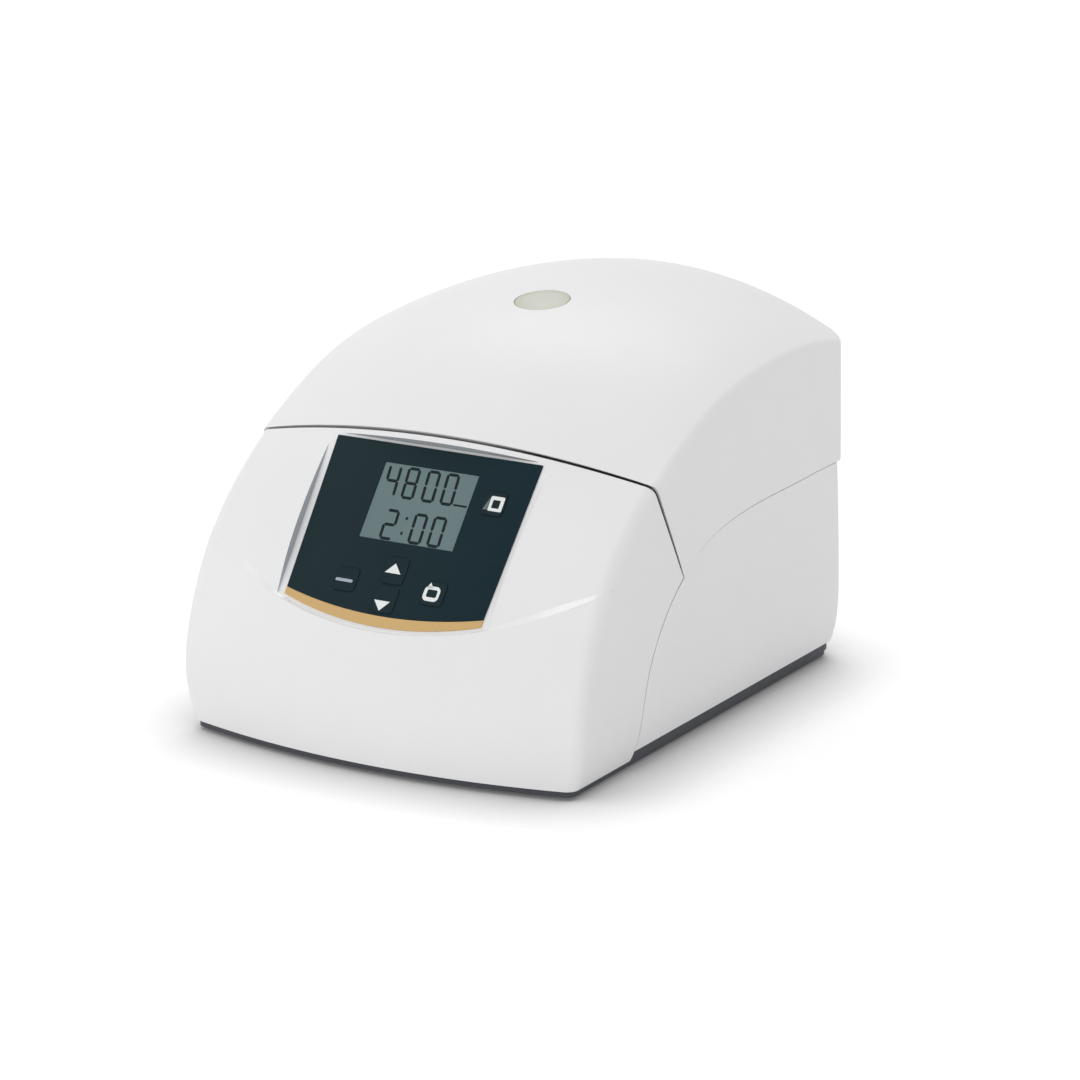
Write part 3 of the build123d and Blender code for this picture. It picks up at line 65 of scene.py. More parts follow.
class Look:
    """A node material built around one Principled shader."""

    def __init__(self, name, rough, metal=0.0):
        self.mat = bpy.data.materials.new(name)
        self.mat.use_nodes = True
        self.tree = self.mat.node_tree
        self.shader = self.tree.nodes["Principled BSDF"]
        self.shader.inputs["Roughness"].default_value = rough
        self.shader.inputs["Metallic"].default_value = metal
        coordinates = self.tree.nodes.new("ShaderNodeTexCoord")
        self.place = coordinates.outputs["Object"]
        self.facing = coordinates.outputs["Normal"]

    def add(self, kind, **settings):
        """New shader node with some of its properties set."""
        node = self.tree.nodes.new(kind)
        for key, value in settings.items():
            setattr(node, key, value)
        return node

    def link(self, a, b):
        self.tree.links.new(a, b)

    def stretched(self, scale):
        """Object coordinates scaled along each axis."""
        node = self.add("ShaderNodeMapping")
        node.inputs["Scale"].default_value = scale
        self.link(self.place, node.inputs["Vector"])
        return node.outputs["Vector"]

    def noise(self, scale, detail=3.0, place=None):
        node = self.add("ShaderNodeTexNoise")
        node.inputs["Scale"].default_value = scale
        node.inputs["Detail"].default_value = detail
        node.inputs["Roughness"].default_value = NOISE_ROUGHNESS
        self.link(place or self.place, node.inputs["Vector"])
        return node.outputs["Fac"]

    def between(self, value, low, high, to_low=0.0, to_high=1.0):
        """Value mapped from low to high onto to_low to to_high, and held there."""
        node = self.add("ShaderNodeMapRange")
        node.inputs["From Min"].default_value = low
        node.inputs["From Max"].default_value = high
        node.inputs["To Min"].default_value = to_low
        node.inputs["To Max"].default_value = to_high
        self.link(value, node.inputs["Value"])
        return node.outputs["Result"]

    def spread(self, value, low, high):
        """Noise value mapped to low to high."""
        return self.between(value, NOISE_LOW, NOISE_HIGH, low, high)

    def tint(self, value, dark, light):
        """Colour between two tones, driven by a noise value."""
        node = self.add("ShaderNodeMix", data_type="RGBA")
        node.inputs["A"].default_value = dark
        node.inputs["B"].default_value = light
        self.link(self.spread(value, 0.0, 1.0), node.inputs["Factor"])
        self.link(node.outputs["Result"], self.shader.inputs["Base Color"])

    def rough(self, value, low, high):
        """Roughness from low to high, driven by a noise value."""
        self.link(self.spread(value, low, high), self.shader.inputs["Roughness"])

    def bump(self, value, strength, distance):
        """Relief from a value; distance is in metres."""
        node = self.add("ShaderNodeBump")
        node.inputs["Strength"].default_value = strength
        node.inputs["Distance"].default_value = distance
        self.link(value, node.inputs["Height"])
        self.link(node.outputs["Normal"], self.shader.inputs["Normal"])

    def over(self, colour, factor):
        """Lays a colour over the base colour by a factor."""
        base = self.shader.inputs["Base Color"].links[0].from_socket
        node = self.add("ShaderNodeMix", data_type="RGBA")
        self.link(base, node.inputs["A"])
        node.inputs["B"].default_value = colour
        self.link(factor, node.inputs["Factor"])
        self.link(node.outputs["Result"], self.shader.inputs["Base Color"])
        return self

    def joined(self, a, b, operation="MULTIPLY"):
        """Two values made one."""
        node = self.add("ShaderNodeMath", operation=operation)
        self.link(a, node.inputs[0])
        self.link(b, node.inputs[1])
        return node.outputs["Value"]

    def axes(self, value):
        """The x, y and z of a vector."""
        node = self.add("ShaderNodeSeparateXYZ")
        self.link(value, node.inputs["Vector"])
        return node.outputs["X"], node.outputs["Y"], node.outputs["Z"]

    def from_axis(self):
        """Distance from the rotor's axis, and the height."""
        x, y, z = self.axes(self.place)
        away = self.add("ShaderNodeMath", operation="SUBTRACT")
        away.inputs[1].default_value = ROTOR_Y
        self.link(y, away.inputs[0])
        flat = self.add("ShaderNodeCombineXYZ")
        self.link(x, flat.inputs["X"])
        self.link(away.outputs["Value"], flat.inputs["Y"])
        radius = self.add("ShaderNodeVectorMath", operation="LENGTH")
        self.link(flat.outputs["Vector"], radius.inputs[0])
        return radius.outputs["Value"], z

    def size(self, value):
        """Value without its sign."""
        node = self.add("ShaderNodeMath", operation="ABSOLUTE")
        self.link(value, node.inputs[0])
        return node.outputs["Value"]


def shade(rgb, factor):
    """An sRGB colour made darker or lighter by a factor."""
    r, g, b, a = linear(rgb)
    return (r * factor, g * factor, b * factor, a)


MOTTLE = 22.0  # noise scale of the faint uneven tone
GLOSS_PATCHES = 240.0  # noise scale of the uneven gloss
SKIN_GRAIN = 2600.0  # noise scale of thin skins and rubber

# Where the lid's seam, the panel's recess and the window's rim lie, in metres
SEAM_HEIGHT = (0.098, 0.112)
SEAM_FRONT = (-0.045, -0.03)
SEAM_RIGHT = (0.03, 0.06)
SEAM_REACH = 0.005
SEAM_ENCLOSED = (0.35, 0.75)
RECESS_SIDES = (0.082, 0.086)
RECESS_TOP = (0.140, 0.150)
RECESS_FRONT = (-0.05, -0.04)
WINDOW_RIM = (0.009, 0.0168)
# where the painted shade on the membrane comes in, in metres
MEMBRANE_SHADE = (-0.04, 0.06)


def moulded(name, rgb, rough, spread, grain, depth, coat=0.0, gloss=0.5):
    """Injection-moulded plastic: faint mottle, fine spark-eroded grain of a depth in metres."""
    look = Look(name, rough)
    look.shader.inputs["Specular IOR Level"].default_value = gloss
    look.tint(look.noise(MOTTLE), shade(rgb, 1 - spread), shade(rgb, 1 + spread * 0.4))
    look.rough(look.noise(GLOSS_PATCHES), rough - 0.04, rough + 0.05)
    look.bump(look.noise(grain, 2.0), 0.35, depth)
    look.shader.inputs["Coat Weight"].default_value = coat
    look.shader.inputs["Coat Roughness"].default_value = 0.2
    return look


def seam_shade(look):
    """Shade deep in the seam between the lid's front edge and the fascia.

    Depth is how enclosed a place is; the rest keeps the shade to that seam, strongest to the right.
    """
    near = look.add("ShaderNodeAmbientOcclusion", samples=8)
    near.inputs["Distance"].default_value = SEAM_REACH
    x, y, z = look.axes(look.place)
    deep = look.between(near.outputs["AO"], *SEAM_ENCLOSED, 1.0, 0.0)
    above_step = look.between(z, *SEAM_HEIGHT)
    at_front = look.between(y, *SEAM_FRONT, 1.0, 0.0)
    to_right = look.between(x, *SEAM_RIGHT, 0.5, 1.0)
    along_seam = look.joined(look.joined(above_step, at_front), to_right)
    return look.over(linear((26, 26, 28)), look.joined(deep, along_seam))


def recess_shade(look):
    """Painted shade: greyer walls round the recess of the control panel, where shade falls."""
    x, y, z = look.axes(look.place)
    turn_x, _, turn_z = look.axes(look.facing)
    inside_sides = look.between(look.size(x), *RECESS_SIDES, 1.0, 0.0)
    faces_side = look.between(look.size(turn_x), 0.5, 0.8)
    faces_down = look.between(turn_z, -0.6, -0.4, 1.0, 0.0)
    top_wall = look.joined(faces_down, look.between(z, *RECESS_TOP))
    walls = look.joined(look.joined(faces_side, top_wall, "MAXIMUM"), inside_sides)
    at_front = look.between(y, *RECESS_FRONT, 1.0, 0.0)
    # grey of the painted shade on the recess walls
    return look.over(linear((168, 173, 177)), look.joined(walls, at_front))


def side_shade(look, rgb, low, high):
    """Painted shade: a second tone that comes in slowly across the object and darkens one side."""
    return look.over(linear(rgb), look.between(look.axes(look.place)[0], low, high))


def rubber(name, rgb):
    """Dull rubber with a coarse bloom."""
    look = Look(name, 0.78)
    look.tint(look.noise(60.0), shade(rgb, 0.8), shade(rgb, 1.2))
    look.rough(look.noise(400.0), 0.7, 0.88)
    look.bump(look.noise(SKIN_GRAIN, 2.0), 0.4, 0.00003)
    return look.mat


def brushed(name, rgb, stretch, rough=0.32):
    """Metal with a straight brushed grain; stretch is small along the grain."""
    look = Look(name, rough, 1.0)
    fine = look.noise(1.0, 3.0, place=look.stretched(stretch))
    look.tint(fine, shade(rgb, 0.86), shade(rgb, 1.06))
    look.rough(fine, rough - 0.07, rough + 0.1)
    look.bump(fine, 0.2, 0.00001)
    return look.mat


def turned(name, rgb, rough, pitch, strength):
    """Metal turned on a lathe about the rotor's axis: fine rings."""
    look = Look(name, rough, 1.0)
    radius, height = look.from_axis()
    ring = look.add("ShaderNodeCombineXYZ")
    look.link(radius, ring.inputs["X"])
    look.link(height, ring.inputs["Z"])
    fine = look.noise(pitch, 2.0, place=ring.outputs["Vector"])
    look.tint(fine, shade(rgb, 0.88), shade(rgb, 1.05))
    look.rough(fine, rough - 0.06, rough + 0.1)
    look.bump(fine, strength, 0.00001)
    return look.mat


def glazed(name, rgb, rough, transmission):
    """Acrylic, from milky to clear."""
    look = Look(name, rough)
    look.tint(look.noise(30.0), shade(rgb, 0.96), shade(rgb, 1.0))
    look.rough(look.noise(300.0), max(rough - 0.02, 0.0), rough + 0.03)
    look.shader.inputs["Transmission Weight"].default_value = transmission
    look.shader.inputs["IOR"].default_value = 1.49
    return look


def shell_plastic(name):
    """White plastic of the outer mouldings."""
    return moulded(name, (231, 231, 232), 0.42, 0.012, 1700.0, 0.000012, gloss=0.35)


def ink(name, rgb, rough, spread, gloss=0.5):
    """Printed ink and other thin skins."""
    return moulded(name, rgb, rough, spread, SKIN_GRAIN, 0.000004, gloss=gloss).mat


def window_glaze():
    """Milky window, more olive towards its rim."""
    look = glazed("window_look", (215, 216, 205), 0.3, 0.2)
    radius, _ = look.from_axis()
    return look.over(linear((203, 204, 184)), look.between(radius, *WINDOW_RIM)).mat


shell_white = seam_shade(shell_plastic("shell_white")).mat
# The fascia's white carries painted shade in the lid's seam and on the walls of the panel's recess.
fascia_white = seam_shade(recess_shade(shell_plastic("fascia_white"))).mat
polished_white = moulded(
    "polished_white", (233, 233, 234), 0.16, 0.012, 1700.0, 0.000002, coat=0.7
).mat
liner_white = moulded("liner_white", (216, 217, 219), 0.5, 0.02, 1300.0, 0.00002).mat
pan_grey = moulded("pan_grey", (58, 60, 66), 0.55, 0.08, 900.0, 0.00004).mat
black_plastic = moulded("black_plastic", (26, 26, 28), 0.45, 0.1, 1200.0, 0.00002).mat
knob_black = moulded("knob_black", (32, 33, 36), 0.38, 0.08, 1200.0, 0.00002).mat
foot_rubber = rubber("foot_rubber_look", (34, 34, 36))
seal_rubber = rubber("seal_rubber_look", (150, 152, 155))
membrane_base = moulded("membrane_look", (22, 40, 45), 0.5, 0.1, SKIN_GRAIN, 0.000006, gloss=0.1)
# The membrane gets painted shade, darker towards its right.
membrane = side_shade(membrane_base, (9, 35, 42), *MEMBRANE_SHADE).mat
key_skin = moulded("key_skin", (14, 35, 41), 0.5, 0.08, SKIN_GRAIN, 0.000006, gloss=0.12).mat
ink_white = ink("ink_white", (226, 230, 228), 0.5, 0.04)
ink_grey = ink("ink_grey", (158, 166, 180), 0.5, 0.04)
ink_dim = ink("ink_dim", (86, 104, 104), 0.5, 0.04)
ink_dark = ink("ink_dark", (12, 26, 33), 0.45, 0.05, gloss=0.12)
stripe = moulded("stripe_look", (205, 170, 114), 0.5, 0.05, 2200.0, 0.000008, gloss=0.25).mat
display = moulded(
    "display_look", (103, 122, 124), 0.3, 0.05, SKIN_GRAIN, 0.000003, gloss=0.15
).mat
steel_x = brushed("steel_x", (176, 177, 178), (30, 2600, 2600))
steel_z = brushed("steel_z", (170, 171, 172), (2600, 2600, 30))
steel_fine = brushed("steel_fine", (188, 188, 188), (900, 900, 900), 0.22)
spun_steel = turned("spun_steel", (196, 197, 197), 0.26, 1900.0, 0.22)
anodised = turned("anodised", (150, 152, 156), 0.36, 1500.0, 0.15)
anodised_plain = brushed("anodised_plain", (156, 158, 161), (500, 500, 500), 0.4)
motor_black = moulded("motor_black", (42, 43, 46), 0.48, 0.1, 700.0, 0.00003).mat
sleeve_blue = moulded("sleeve_blue", (34, 42, 74), 0.3, 0.1, 900.0, 0.00001, coat=0.4).mat
cable_grey = moulded("cable_grey_look", (150, 151, 154), 0.5, 0.08, 500.0, 0.00003).mat
brass = brushed("brass_look", (214, 184, 110), (700, 700, 700), 0.26)
window = window_glaze()
clear = glazed("clear_look", (225, 228, 224), 0.06, 0.85).mat


def circuit_board():
    """Green solder mask with faint copper tracks and pads."""
    look = Look("board_green", 0.32)
    track = look.add("ShaderNodeTexBrick")
    track.inputs["Scale"].default_value = 180.0
    track.inputs["Mortar Size"].default_value = 0.05
    track.inputs["Color1"].default_value = linear((30, 92, 58))
    track.inputs["Color2"].default_value = linear((36, 104, 66))
    track.inputs["Mortar"].default_value = linear((52, 128, 84))
    look.link(look.place, track.inputs["Vector"])
    look.link(track.outputs["Color"], look.shader.inputs["Base Color"])
    look.bump(track.outputs["Fac"], 0.2, 0.00004)
    return look.mat


board_green = circuit_board()

looks = {
    shell_white: "housing_shell lid_shell",
    fascia_white: "front_fascia",
    liner_white: "lid_liner chamber_deck sight_tube",
    pan_grey: "base_pan",
    foot_rubber: "rubber_feet damper_mounts shaft_boot lid_bumpers",
    seal_rubber: "chamber_seal",
    membrane: "membrane_panel",
    key_skin: "key_menu key_up key_down key_start key_open",
    stripe: "accent_stripe",
    display: "lcd_glass",
    black_plastic: "lcd_module transformer power_switch mains_inlet fuse_drawer power_rocker",
    board_green: "display_board power_board",
    window: "lid_window",
    clear: "sight_glass",
    steel_x: "hinge_pins lock_bolt motor_plate",
    steel_z: (
        "board_spacers deck_posts drive_shaft hinge_brackets hinge_arm_left hinge_arm_right "
        "lid_striker"
    ),
    steel_fine: "base_screws deck_screws lid_screws motor_bearings",
    spun_steel: "rotor_chamber guard_ring",
    anodised: "rotor rotor_lid rotor_nut",
    anodised_plain: "heat_sink lock_body",
    motor_black: "motor_housing motor_end_cap motor_stator motor_magnets lock_solenoid",
    knob_black: "rotor_lid_knob",
    sleeve_blue: "capacitors",
    cable_grey: "display_cable",
    brass: "inlet_pins",
}
for look, names in looks.items():
    for name in names.split():
        for held in nodes[name].material_slots:
            held.material = look

# ---------------------------------------------------------------- mesh helpers


class Sheet:
    """A flat place with its own x, y and outward axis; at() takes millimetres, gives metres."""

    def __init__(self, origin, across, up):
        self.origin = Vector(origin) * MM
        self.across = Vector(across).normalized()
        self.up = Vector(up).normalized()
        self.out = self.across.cross(self.up)

    def at(self, x, y, n):
        return self.origin + (self.across * x + self.up * y + self.out * n) * MM


def piece(name, mesh, body, look, smooth=False):
    """Puts a finished bmesh into the scene, riding on a body."""
    bmesh.ops.recalc_face_normals(mesh, faces=mesh.faces)
    data = bpy.data.meshes.new(name)
    mesh.to_mesh(data)
    mesh.free()
    for face in data.polygons:
        face.use_smooth = smooth
    obj = bpy.data.objects.new(name, data)
    scene.collection.objects.link(obj)
    data.materials.append(look)
    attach(obj, body)
    return obj


def slab(mesh, sheet, outline, low, high):
    """A flat prism on a sheet."""
    base = [mesh.verts.new(sheet.at(x, y, low)) for x, y in outline]
    top = [mesh.verts.new(sheet.at(x, y, high)) for x, y in outline]
    mesh.faces.new(top)
    mesh.faces.new(base[::-1])
    for i in range(len(base)):
        j = (i + 1) % len(base)
        mesh.faces.new((base[i], base[j], top[j], top[i]))


def frame_slab(mesh, sheet, outer, inner, low, high):
    """A flat ring on a sheet between two outlines with as many points."""
    rings = []
    for outline, height in ((outer, low), (outer, high), (inner, high), (inner, low)):
        rings.append([mesh.verts.new(sheet.at(x, y, height)) for x, y in outline])
    for a, b in zip(rings, rings[1:] + rings[:1]):
        for i in range(len(a)):
            j = (i + 1) % len(a)
            mesh.faces.new((a[i], a[j], b[j], b[i]))


def rounded(x, y, wide, tall, radius, steps=5):
    """Outline of a rounded rectangle."""
    points = []
    for corner, (sx, sy) in enumerate(((1, 1), (-1, 1), (-1, -1), (1, -1))):
        cx = x + sx * (wide / 2 - radius)
        cy = y + sy * (tall / 2 - radius)
        for step in range(steps + 1):
            angle = math.radians(90 * corner + 90 * step / steps)
            points.append((cx + radius * math.cos(angle), cy + radius * math.sin(angle)))
    return points


# ---------------------------------------------------------------- display digits and key signs

# Millimetres on the membrane's slope; heights are above the membrane
LEAN = math.radians(38.4)
panel = Sheet((0, -148.2, 96.4), (1, 0, 0), (0, math.sin(LEAN), math.cos(LEAN)))
KEY_TOP = 1.1
GLASS_TOP = 0.5
PRINT = 0.06

SEGMENTS = {"0": "abcdef", "2": "abged", "4": "fgbc", "8": "abcdefg"}
STROKE = 1.85
JOINT_GAP = 0.08


def bar(mesh, a, b, slant, base):
    """One display segment from a to b, with pointed ends."""
    (ax, ay), (bx, by) = a, b
    length = math.hypot(bx - ax, by - ay)
    ux, uy = (bx - ax) / length, (by - ay) / length
    h = STROKE / 2
    outline = []
    for along, side in (
        (JOINT_GAP, 0),
        (JOINT_GAP + h, -h),
        (length - JOINT_GAP - h, -h),
        (length - JOINT_GAP, 0),
        (length - JOINT_GAP - h, h),
        (JOINT_GAP + h, h),
    ):
        x = ax + ux * along - uy * side
        y = ay + uy * along + ux * side
        outline.append((x + slant * (y - base), y))
    slab(mesh, panel, outline, GLASS_TOP, GLASS_TOP + PRINT)


def digit(mesh, figure, x, y, wide, tall, slant):
    """Seven-segment digit; x and y are its lower left end of strokes."""
    half = tall / 2
    ends = {
        "a": ((x, y + tall), (x + wide, y + tall)),
        "b": ((x + wide, y + tall), (x + wide, y + half)),
        "c": ((x + wide, y + half), (x + wide, y)),
        "d": ((x, y), (x + wide, y)),
        "e": ((x, y + half), (x, y)),
        "f": ((x, y + tall), (x, y + half)),
        "g": ((x, y + half), (x + wide, y + half)),
    }
    for segment in SEGMENTS[figure]:
        bar(mesh, *ends[segment], slant, y)


# Rows of the display: digits with their x, then y, width, height and slant
SPEED_ROW = (("4", -26.6), ("8", -13.6), ("0", 0.2), ("0", 13.2)), 66.2, 7.2, 18.6, -0.07
TIME_ROW = (("2", -18.2), ("0", 1.4), ("0", 14.4)), 39.3, 7.4, 17.8, -0.05
COLON_DOTS = [rounded(-5.0, y, 1.5, 1.9, 0.3, 2) for y in (44.0, 53.6)]
LOW_DASH = rounded(26.4, 66.5, 9.2, 1.2, 0.3, 2)

digits = bmesh.new()
for figures, y, wide, tall, slant in (SPEED_ROW, TIME_ROW):
    for figure, x in figures:
        digit(digits, figure, x, y, wide, tall, slant)
for outline in (*COLON_DOTS, LOW_DASH):
    slab(digits, panel, outline, GLASS_TOP, GLASS_TOP + PRINT)
piece("display_digits", digits, "housing", ink_dark)

# Dark layer of the membrane that shows in the narrow gap round each key
KEY_WIDE = 15.0
KEY_GAP = 0.5  # both sides of the gap together
KEY_CORNER = 3.2
LAYER_LOW, LAYER_HIGH = 0.01, 0.06
KEYS = (  # x, y and height
    (-30.0, 10.5, 15.0),
    (0.0, 20.5, 17.0),
    (0.0, 2.0, 17.0),
    (30.0, 10.5, 15.0),
    (48.0, 71.0, 15.0),
)
gaps = bmesh.new()
for x, y, tall in KEYS:
    outline = rounded(x, y, KEY_WIDE + KEY_GAP, tall + KEY_GAP, KEY_CORNER)
    slab(gaps, panel, outline, LAYER_LOW, LAYER_HIGH)
piece("membrane_under_layer", gaps, "housing", key_skin)


def sign(name, body, look, *shapes):
    """Printed sign on a key: plain outlines, or pairs of outlines for a ring."""
    mesh = bmesh.new()
    for shape in shapes:
        if isinstance(shape[0][0], tuple):
            frame_slab(mesh, panel, shape[0], shape[1], KEY_TOP, KEY_TOP + PRINT)
        else:
            slab(mesh, panel, shape, KEY_TOP, KEY_TOP + PRINT)
    piece(name, mesh, body, look)


sign("sign_menu", "key_menu", ink_grey, rounded(-31.0, 9.6, 11.8, 1.9, 0.9))
sign("sign_up", "key_up", ink_white, [(-6.4, 18.6), (4.4, 18.6), (-1.0, 24.9)])
sign("sign_down", "key_down", ink_white, [(-6.7, 1.0), (4.0, 1.0), (-1.2, -5.4)])
sign(
    "sign_start",
    "key_start",
    ink_white,
    (rounded(28.8, 10.2, 10.6, 9.4, 3.0), rounded(29.0, 10.4, 6.8, 4.8, 1.0)),
    [(24.4, 13.6), (28.6, 13.6), (26.4, 17.0)],
)
sign(
    "sign_open",
    "key_open",
    ink_white,
    (rounded(49.8, 70.9, 9.2, 9.4, 0.9), rounded(49.6, 70.7, 5.0, 5.2, 0.3)),
)
sign("sign_open_flap", "key_open", ink_dim, [(41.9, 66.6), (44.9, 66.6), (44.9, 75.2)])

# ---------------------------------------------------------------- smiling step and lid window

# The step's arc on the front, in millimetres, and the two bright facets at its ends
SMILE_LOW = 83.0
SMILE_RADIUS = 285.0
EDGE_INNER = 62.0
EDGE_OUTER = 136.3
EDGE_STEPS = 90
EDGE_LAP = 0.25
EDGE_THIN = 0.35
EDGE_WIDE = 3.0
EDGE_RISE, EDGE_FALL = 1.6, 0.9  # powers of the width's growth and of its end
EDGE_PEAK = 0.195  # the largest value of share**EDGE_RISE * (1 - share) ** EDGE_FALL
EDGE_DEPTH = 1.2

# The window in the lid, in millimetres
LENS_LAP = 0.12
LENS_DOME = 0.9
LENS_BEVEL = 0.3
LENS_DEPTH = 2.2
LENS_PROBE = 2.0
LENS_AROUND = 64
LENS_RINGS = 10


def faces_of(node):
    """Search tree of a CAD node's faces."""
    mesh = nodes[node].data
    return BVHTree.FromPolygons(
        [point.co for point in mesh.vertices], [face.vertices for face in mesh.polygons]
    )


fascia_faces = faces_of("front_fascia")


def on_fascia(x, z):
    """Point of the fascia's front surface at x and z of the front view."""
    return fascia_faces.ray_cast(Vector((x, -1000, z)) * MM, Vector((0, 1, 0)))[0]


def edge_width(share):
    """Width of the facet along its length: it grows towards the corner and ends in a point."""
    return EDGE_THIN + EDGE_WIDE * share**EDGE_RISE * (1 - share) ** EDGE_FALL / EDGE_PEAK


def smile_edge(name, side):
    """Narrow bright facet that widens along one end of the step and ends in a point."""
    mesh = bmesh.new()
    sunk = Vector((0, EDGE_DEPTH, 0)) * MM
    rows = []
    for step in range(EDGE_STEPS + 1):
        share = step / EDGE_STEPS
        turn = math.asin((EDGE_INNER + (EDGE_OUTER - EDGE_INNER) * share) / SMILE_RADIUS)
        ends = []
        for away in (-EDGE_LAP, edge_width(share)):
            radius = SMILE_RADIUS - away
            x = side * radius * math.sin(turn)
            ends.append(on_fascia(x, SMILE_LOW + SMILE_RADIUS - radius * math.cos(turn)))
        low, high = ends
        rows.append([mesh.verts.new(place) for place in (low, high, high + sunk, low + sunk)])
    for a, b in zip(rows, rows[1:]):
        for i in range(4):
            j = (i + 1) % 4
            mesh.faces.new((a[i], a[j], b[j], b[i]))
    mesh.faces.new(rows[0])
    mesh.faces.new(rows[-1][::-1])
    piece(name, mesh, "housing", polished_white)


def window_lens():
    """Slightly domed window, flush with the lid round its rim."""
    low, high = (Vector(corner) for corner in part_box("lid_window"))
    middle = (low + high) / 2
    radius = (high.x - low.x) / 2 + LENS_LAP * MM
    dome = LENS_DOME * MM
    lid_faces = faces_of("lid_shell")
    ways, tops = [], []
    for step in range(LENS_AROUND):
        angle = math.tau * step / LENS_AROUND
        way = Vector((math.cos(angle), math.sin(angle), 0))
        start = middle + way * (radius + LENS_PROBE * MM)
        hit = lid_faces.ray_cast(Vector((start.x, start.y, 1)), Vector((0, 0, -1)))[0]
        ways.append(way)
        tops.append(hit.z)
    centre = sum(tops) / LENS_AROUND
    mesh = bmesh.new()

    def ring(share, heights):
        """Ring of points at a share of the radius."""
        return [
            mesh.verts.new((*(middle + way * radius * share).xy, height))
            for way, height in zip(ways, heights)
        ]

    rows = []
    for step in range(1, LENS_RINGS + 1):
        share = step / LENS_RINGS
        rise = dome * (1 - share * share)
        rows.append(ring(share, [centre + (top - centre) * share + rise for top in tops]))
    tip = mesh.verts.new((middle.x, middle.y, centre + dome))
    edge = ring(1, [top - LENS_BEVEL * MM for top in tops])
    foot = ring(1, [top - LENS_DEPTH * MM for top in tops])
    for a, b in zip(rows + [edge], rows[1:] + [edge, foot]):
        for i in range(LENS_AROUND):
            j = (i + 1) % LENS_AROUND
            mesh.faces.new((a[i], b[i], b[j], a[j]))
    for i in range(LENS_AROUND):
        mesh.faces.new((tip, rows[0][i], rows[0][(i + 1) % LENS_AROUND]))
    mesh.faces.new(foot)
    lens = piece("window_lens", mesh, "lid", window, smooth=True)
    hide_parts("lid_window")


window_lens()
smile_edge("smile_edge_right", 1)
smile_edge("smile_edge_left", -1)

# ---------------------------------------------------------------- screws and rocker marks

SIDES = 24
SCREW_HEAD = 2.2  # height of a screw's head, in millimetres
SCREW_REACH = 14.0  # length of its shank


def ring_of(mesh, centre, radius, height, way, hexed):
    """A ring of points about an upright axis, round or six-sided."""
    x, y, z = centre
    made = []
    for i in range(SIDES):
        angle = 2 * math.pi * i / SIDES
        reach = radius
        if hexed:
            reach = radius * math.cos(math.pi / 6) / math.cos(angle % (math.pi / 3) - math.pi / 6)
        place = (x + reach * math.cos(angle), y + way * reach * math.sin(angle), z + way * height)
        made.append(mesh.verts.new(Vector(place) * MM))
    return made


def turned_solid(mesh, centre, profile, way):
    """Closed solid of rings; way -1 hangs it head down."""
    rings = [ring_of(mesh, centre, r, z, way, hexed) for r, z, hexed in profile]
    for a, b in zip(rings, rings[1:]):
        for i in range(SIDES):
            j = (i + 1) % SIDES
            mesh.faces.new((a[i], a[j], b[j], b[i]))
    mesh.faces.new(rings[0][::-1])
    mesh.faces.new(rings[-1])


def screw_profile(head, reach):
    """Threaded shank, rounded pan head and a six-sided socket.

    Each row is a radius, a height above the seat, and whether the ring is six-sided.
    """
    profile = [(1.4, -reach, False), (1.95, -reach + 0.7, False)]
    thread = -reach + 1.2
    while thread < -1.0:
        profile += [(1.72, thread, False), (1.98, thread + 0.35, False)]
        thread += 0.7
    profile += [(1.98, 0.0, False), (3.6, 0.0, False), (3.8, 0.2, False), (3.8, head * 0.5, False)]
    for step in range(1, 6):
        angle = math.radians(18 * step)
        profile.append((2.9 + 0.9 * math.cos(angle), head * (0.5 + 0.5 * math.sin(angle)), False))
    profile += [(1.85, head, True), (1.7, head - 0.15, True), (1.7, 0.9, True), (0.9, 0.6, True)]
    return profile


def screws(node, body, places, z, way):
    """Detailed screws in the places of a CAD node's plain ones."""
    mesh = bmesh.new()
    for x, y in places:
        turned_solid(mesh, (x, y, z), screw_profile(SCREW_HEAD, SCREW_REACH), way)
    obj = piece(node + "_socketed", mesh, body, steel_fine)
    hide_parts(node)


def four(x, front, rear):
    """Left and right places at the front, then at the rear."""
    return [(-x, front), (x, front), (-x, rear), (x, rear)]


posts = four(112.0, -44.0, 132.0)
bosses = four(108.0, -22.0, 84.0) + [(-40.0, 136.0), (40.0, 136.0)]
# Height of the screws' seats, and 1 for a head that points up
screws("deck_screws", "housing", posts, 152.0, 1)
screws("base_screws", "housing", posts, 4.9, -1)
screws("lid_screws", "lid", bosses, 158.0, -1)

# Off and on marks on the two halves of the rocker, which leans by its rest tilt
ROCKER_TILT = math.radians(7.0)
ROCKER_AXIS = Vector((-50.0, 167.0, 41.0))
ROCKER_HALF = 8.2  # half its length
ROCKER_RISE = 1.5  # how far its ends stand above the middle
ROCKER_FACE = 4.5  # from its axis to the middle of the face
MARK_OUT = 4.3
MARK_LOW, MARK_HIGH = -0.02, 0.05

